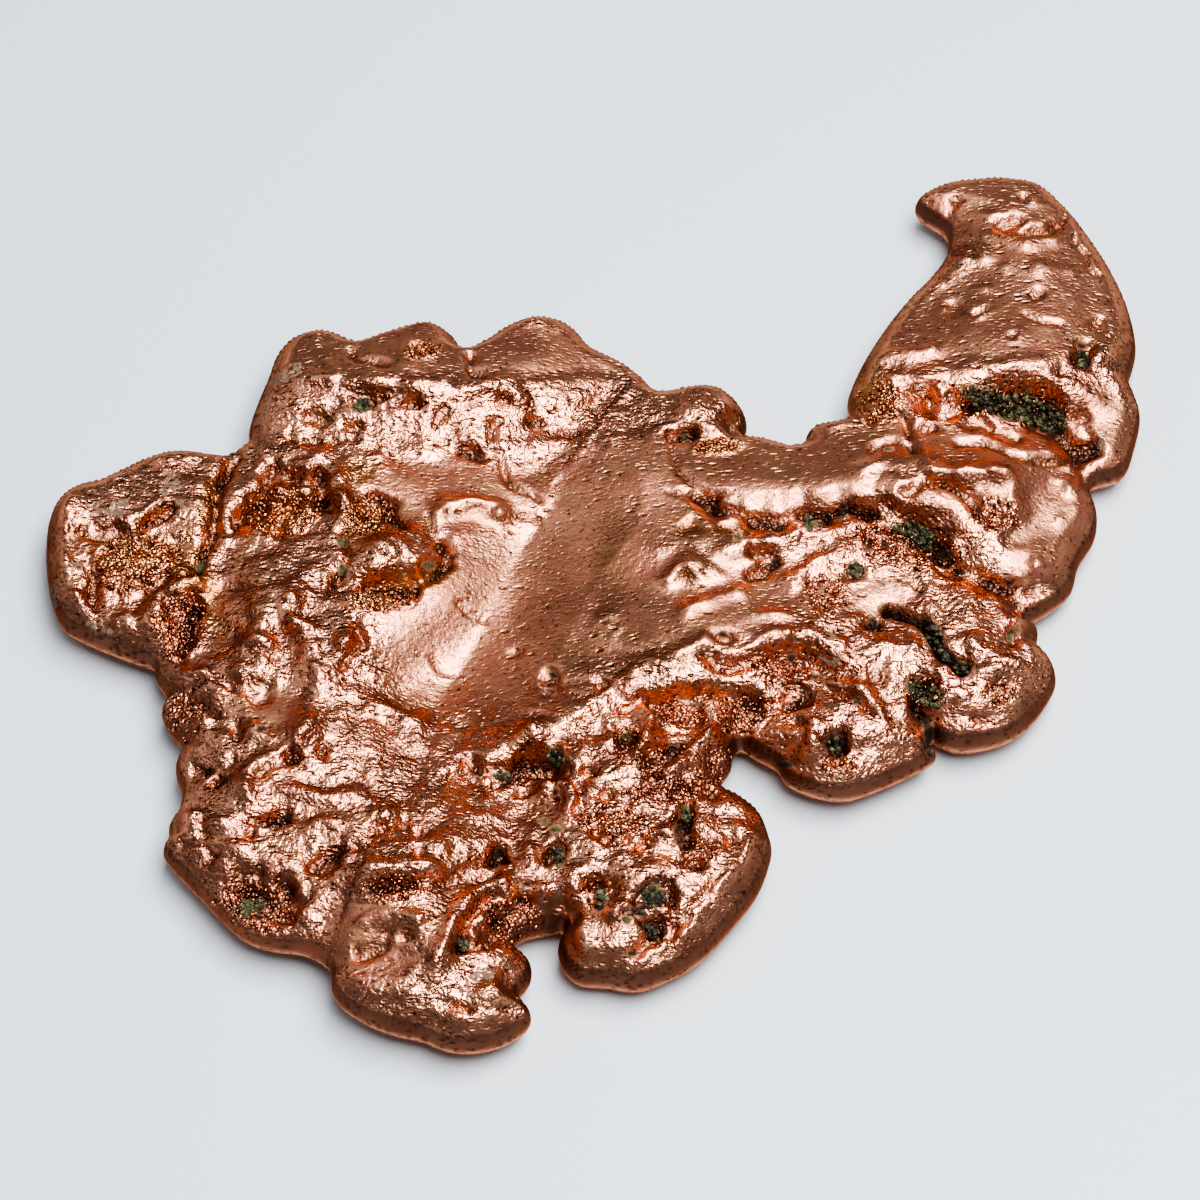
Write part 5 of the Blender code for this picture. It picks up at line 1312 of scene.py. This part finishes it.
def copperMaterial():
    material, tree, surface, vector = newMaterial("tumbledCopper")
    clouds = place(tree, patches, vector, copper["clouds"])
    fine = place(tree, patches, vector, copper["fine"])
    grainTops = place(tree, packedGrains, vector, copper["grains"])
    pits, smallPits = pitPatterns(tree, vector)
    pitted = rest(tree, product(tree, pits, smallPits))
    color = metalColor(tree, vector, clouds, fine, pitted, grainTops)
    color, stoneAndHoles = depositsAndShadedHolesOn(tree, vector, fine, color)
    tree.links.new(color, surface.inputs["Base Color"])
    tree.links.new(rest(tree, stoneAndHoles), surface.inputs["Metallic"])
    tree.links.new(copperRoughness(tree, clouds, stoneAndHoles), surface.inputs["Roughness"])
    tree.links.new(copperNormal(tree, vector, pits, smallPits, grainTops), surface.inputs["Normal"])
    surface.inputs["Specular Tint"].default_value = (*copper["edgeTint"], 1)
    return material


nugget.data.materials.clear()
nugget.data.materials.append(copperMaterial())
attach(nugget, "root")
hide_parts("copper_nugget")

grains = {
    "copperCount": 1200,
    "copperSize": (0.14, 0.34),      # half width, mm
    "mineralCount": 900,
    "mineralSize": (0.12, 0.4),
    "shrink": (0.6, 1.0),
    "stretch": (0.6, 1.1),
    "sunk": 0.3,                     # share of a grain that lies below the surface
    "uneven": 0.3,
    "steepest": 0.1,                 # grains lie only where the ground looks up more than this
    "copperDeep": (0.22, 0.085, 0.05),
    "copperBright": (0.66, 0.30, 0.19),
    "copperPolish": 0.26,
    "mineralDark": (0.018, 0.017, 0.009),
    "mineralPale": (0.15, 0.145, 0.065),
    "mineralRoughness": 0.55,
    "fine": {"Size": 0.4, "Low": 0.3, "High": 0.7},
    "toneCurve": 1.6,
    "toneLift": 0.4,
    "dent": 0.08,
}

# crowds of mineral grains: x, y, half length, half width, turn
mineralPlaces = (
    (39.5, 21.2, 4.2, 1.5, -12), (36, 22.8, 1.6, 0.8, -4), (43, 19.6, 1.2, 1.2, 0),
    (29.6, -11.6, 1.7, 1.2, -15), (30.2, 5.8, 1, 1.4, 20), (28.4, 7, 1.3, 0.5, -10),
    (30.8, -5.6, 0.6, 2.4, 25), (32.9, -8.8, 0.6, 0.8, 0), (25, -3.6, 0.5, 0.6, 0),
    (21.3, -17.2, 0.8, 1, 0), (-3.7, -18.6, 0.8, 1, 0), (4.8, -33.2, 1, 1.2, 0),
    (3.4, -34.7, 0.8, 0.5, 0), (4.7, -36.6, 0.5, 0.7, 0), (7.8, -24.6, 0.4, 0.9, 0),
    (46, 27, 0.6, 0.9, 0), (23.6, 2.2, 0.8, 0.9, 0), (-30.2, -34.3, 1.4, 0.7, 0),
    (-3.3, -28.9, 0.4, 0.9, 0), (-8.4, -20.5, 0.8, 0.5, 0), (-11.6, -38, 0.6, 0.5, 0),
    (0.4, -33.2, 0.5, 0.8, 0), (19.6, 7.6, 0.6, 0.8, 0), (-21.9, 21.3, 0.9, 0.7, 0),
)


def groundUnder(tree, x, faceY):
    # look down along the drawing's own slant, from high above, in mm
    high = 30.0
    startY = faceY - sheet["lean"] * (high - sheet["drawnHeight"])
    start = Vector((x - shift[0], startY - shift[1], high)) * mm
    hit, normal, _, _ = tree.ray_cast(start, Vector((0.0, sheet["lean"], -1.0)).normalized())
    return hit, normal


def grainTemplate():
    shape = bmesh.new()
    bmesh.ops.create_icosphere(shape, subdivisions=2, radius=1.0)
    template = bpy.data.meshes.new("roundGrain")
    shape.to_mesh(template)
    shape.free()
    return template


def grainCorners(ball, ground, normal, sizes, picker):
    # a round ball's corners made uneven, stretched, rolled, and sunk into the ground
    size = picker.uniform(*sizes) * picker.uniform(*grains["shrink"]) * mm
    stretch = np.array([picker.uniform(*grains["stretch"]) for _ in range(3)])
    rolled = Vector([picker.uniform(-1, 1) for _ in range(3)]).to_track_quat("Z", "Y").to_matrix()
    bulge = np.array([picker.uniform(1 - grains["uneven"], 1 + grains["uneven"]) for _ in ball])
    middle = ground + normal * (size * (1 - 2 * grains["sunk"]))
    return (ball * bulge[:, None] * stretch) @ np.array(rolled).T * size + np.array(middle)


def scatteredGrains(name, places, count, sizes, picker):
    tree = BVHTree.FromObject(nugget, bpy.context.evaluated_depsgraph_get())
    areas = [halfLength * halfWidth for _, _, halfLength, halfWidth, _ in places]
    template = grainTemplate()
    ball = meshPoints(template)
    shape = bmesh.new()
    corners, tones = [], []
    for cx, cy, halfLength, halfWidth, turn in picker.choices(places, weights=areas, k=count):
        angle, reach = picker.uniform(0, 2 * math.pi), math.sqrt(picker.random())
        along, across = reach * halfLength * math.cos(angle), reach * halfWidth * math.sin(angle)
        cos, sin = math.cos(math.radians(turn)), math.sin(math.radians(turn))
        x, y = cx + along * cos - across * sin, cy + along * sin + across * cos
        ground, normal = groundUnder(tree, x, y)
        if ground is None or normal.z < grains["steepest"]:
            continue
        shape.from_mesh(template)
        corners.append(grainCorners(ball, ground, normal, sizes, picker))
        tones.extend([picker.random()] * len(ball))
    mesh = bpy.data.meshes.new(name)
    shape.to_mesh(mesh)
    shape.free()
    bpy.data.meshes.remove(template)
    setPoints(mesh, np.concatenate(corners))
    keepMask(mesh, "tone", np.array(tones))
    piece = bpy.data.objects.new(name, mesh)
    bpy.context.scene.collection.objects.link(piece)
    print(name, len(corners), "grains", len(mesh.polygons), "faces")
    return piece


def grainMaterial(name, dark, pale, metal, polish):
    material, tree, surface, vector = newMaterial(name)
    surface.inputs["Metallic"].default_value = metal
    surface.inputs["Roughness"].default_value = polish
    fine = place(tree, patches, vector, grains["fine"])
    tone = mathNode(tree, "POWER", mask(tree, "tone"), grains["toneCurve"])
    tone = product(tree, tone, mathNode(tree, "ADD", fine, grains["toneLift"]), clamp=True)
    tree.links.new(mixColors(tree, tone, dark, pale), surface.inputs["Base Color"])
    tree.links.new(bump(tree, fine, grains["dent"]), surface.inputs["Normal"])
    return material


def addGrains():
    picker = random.Random(7)
    copperPiece = scatteredGrains("copperGrains", grainyPlaces, grains["copperCount"],
                                  grains["copperSize"], picker)
    copperPiece.data.materials.append(grainMaterial(
        "grainCopper", grains["copperDeep"], grains["copperBright"], 1.0, grains["copperPolish"]))
    copperPiece.data.shade_smooth()
    mineralPiece = scatteredGrains("mineralGrains", mineralPlaces, grains["mineralCount"],
                                   grains["mineralSize"], picker)
    mineralPiece.data.materials.append(grainMaterial(
        "greenMineral", grains["mineralDark"], grains["mineralPale"], 0.0,
        grains["mineralRoughness"]))
    mineralPiece.data.shade_flat()
    return copperPiece, mineralPiece


copperGrains, mineralGrains = addGrains()
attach(copperGrains, "root")
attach(mineralGrains, "root")
print("grains are in the hollows")
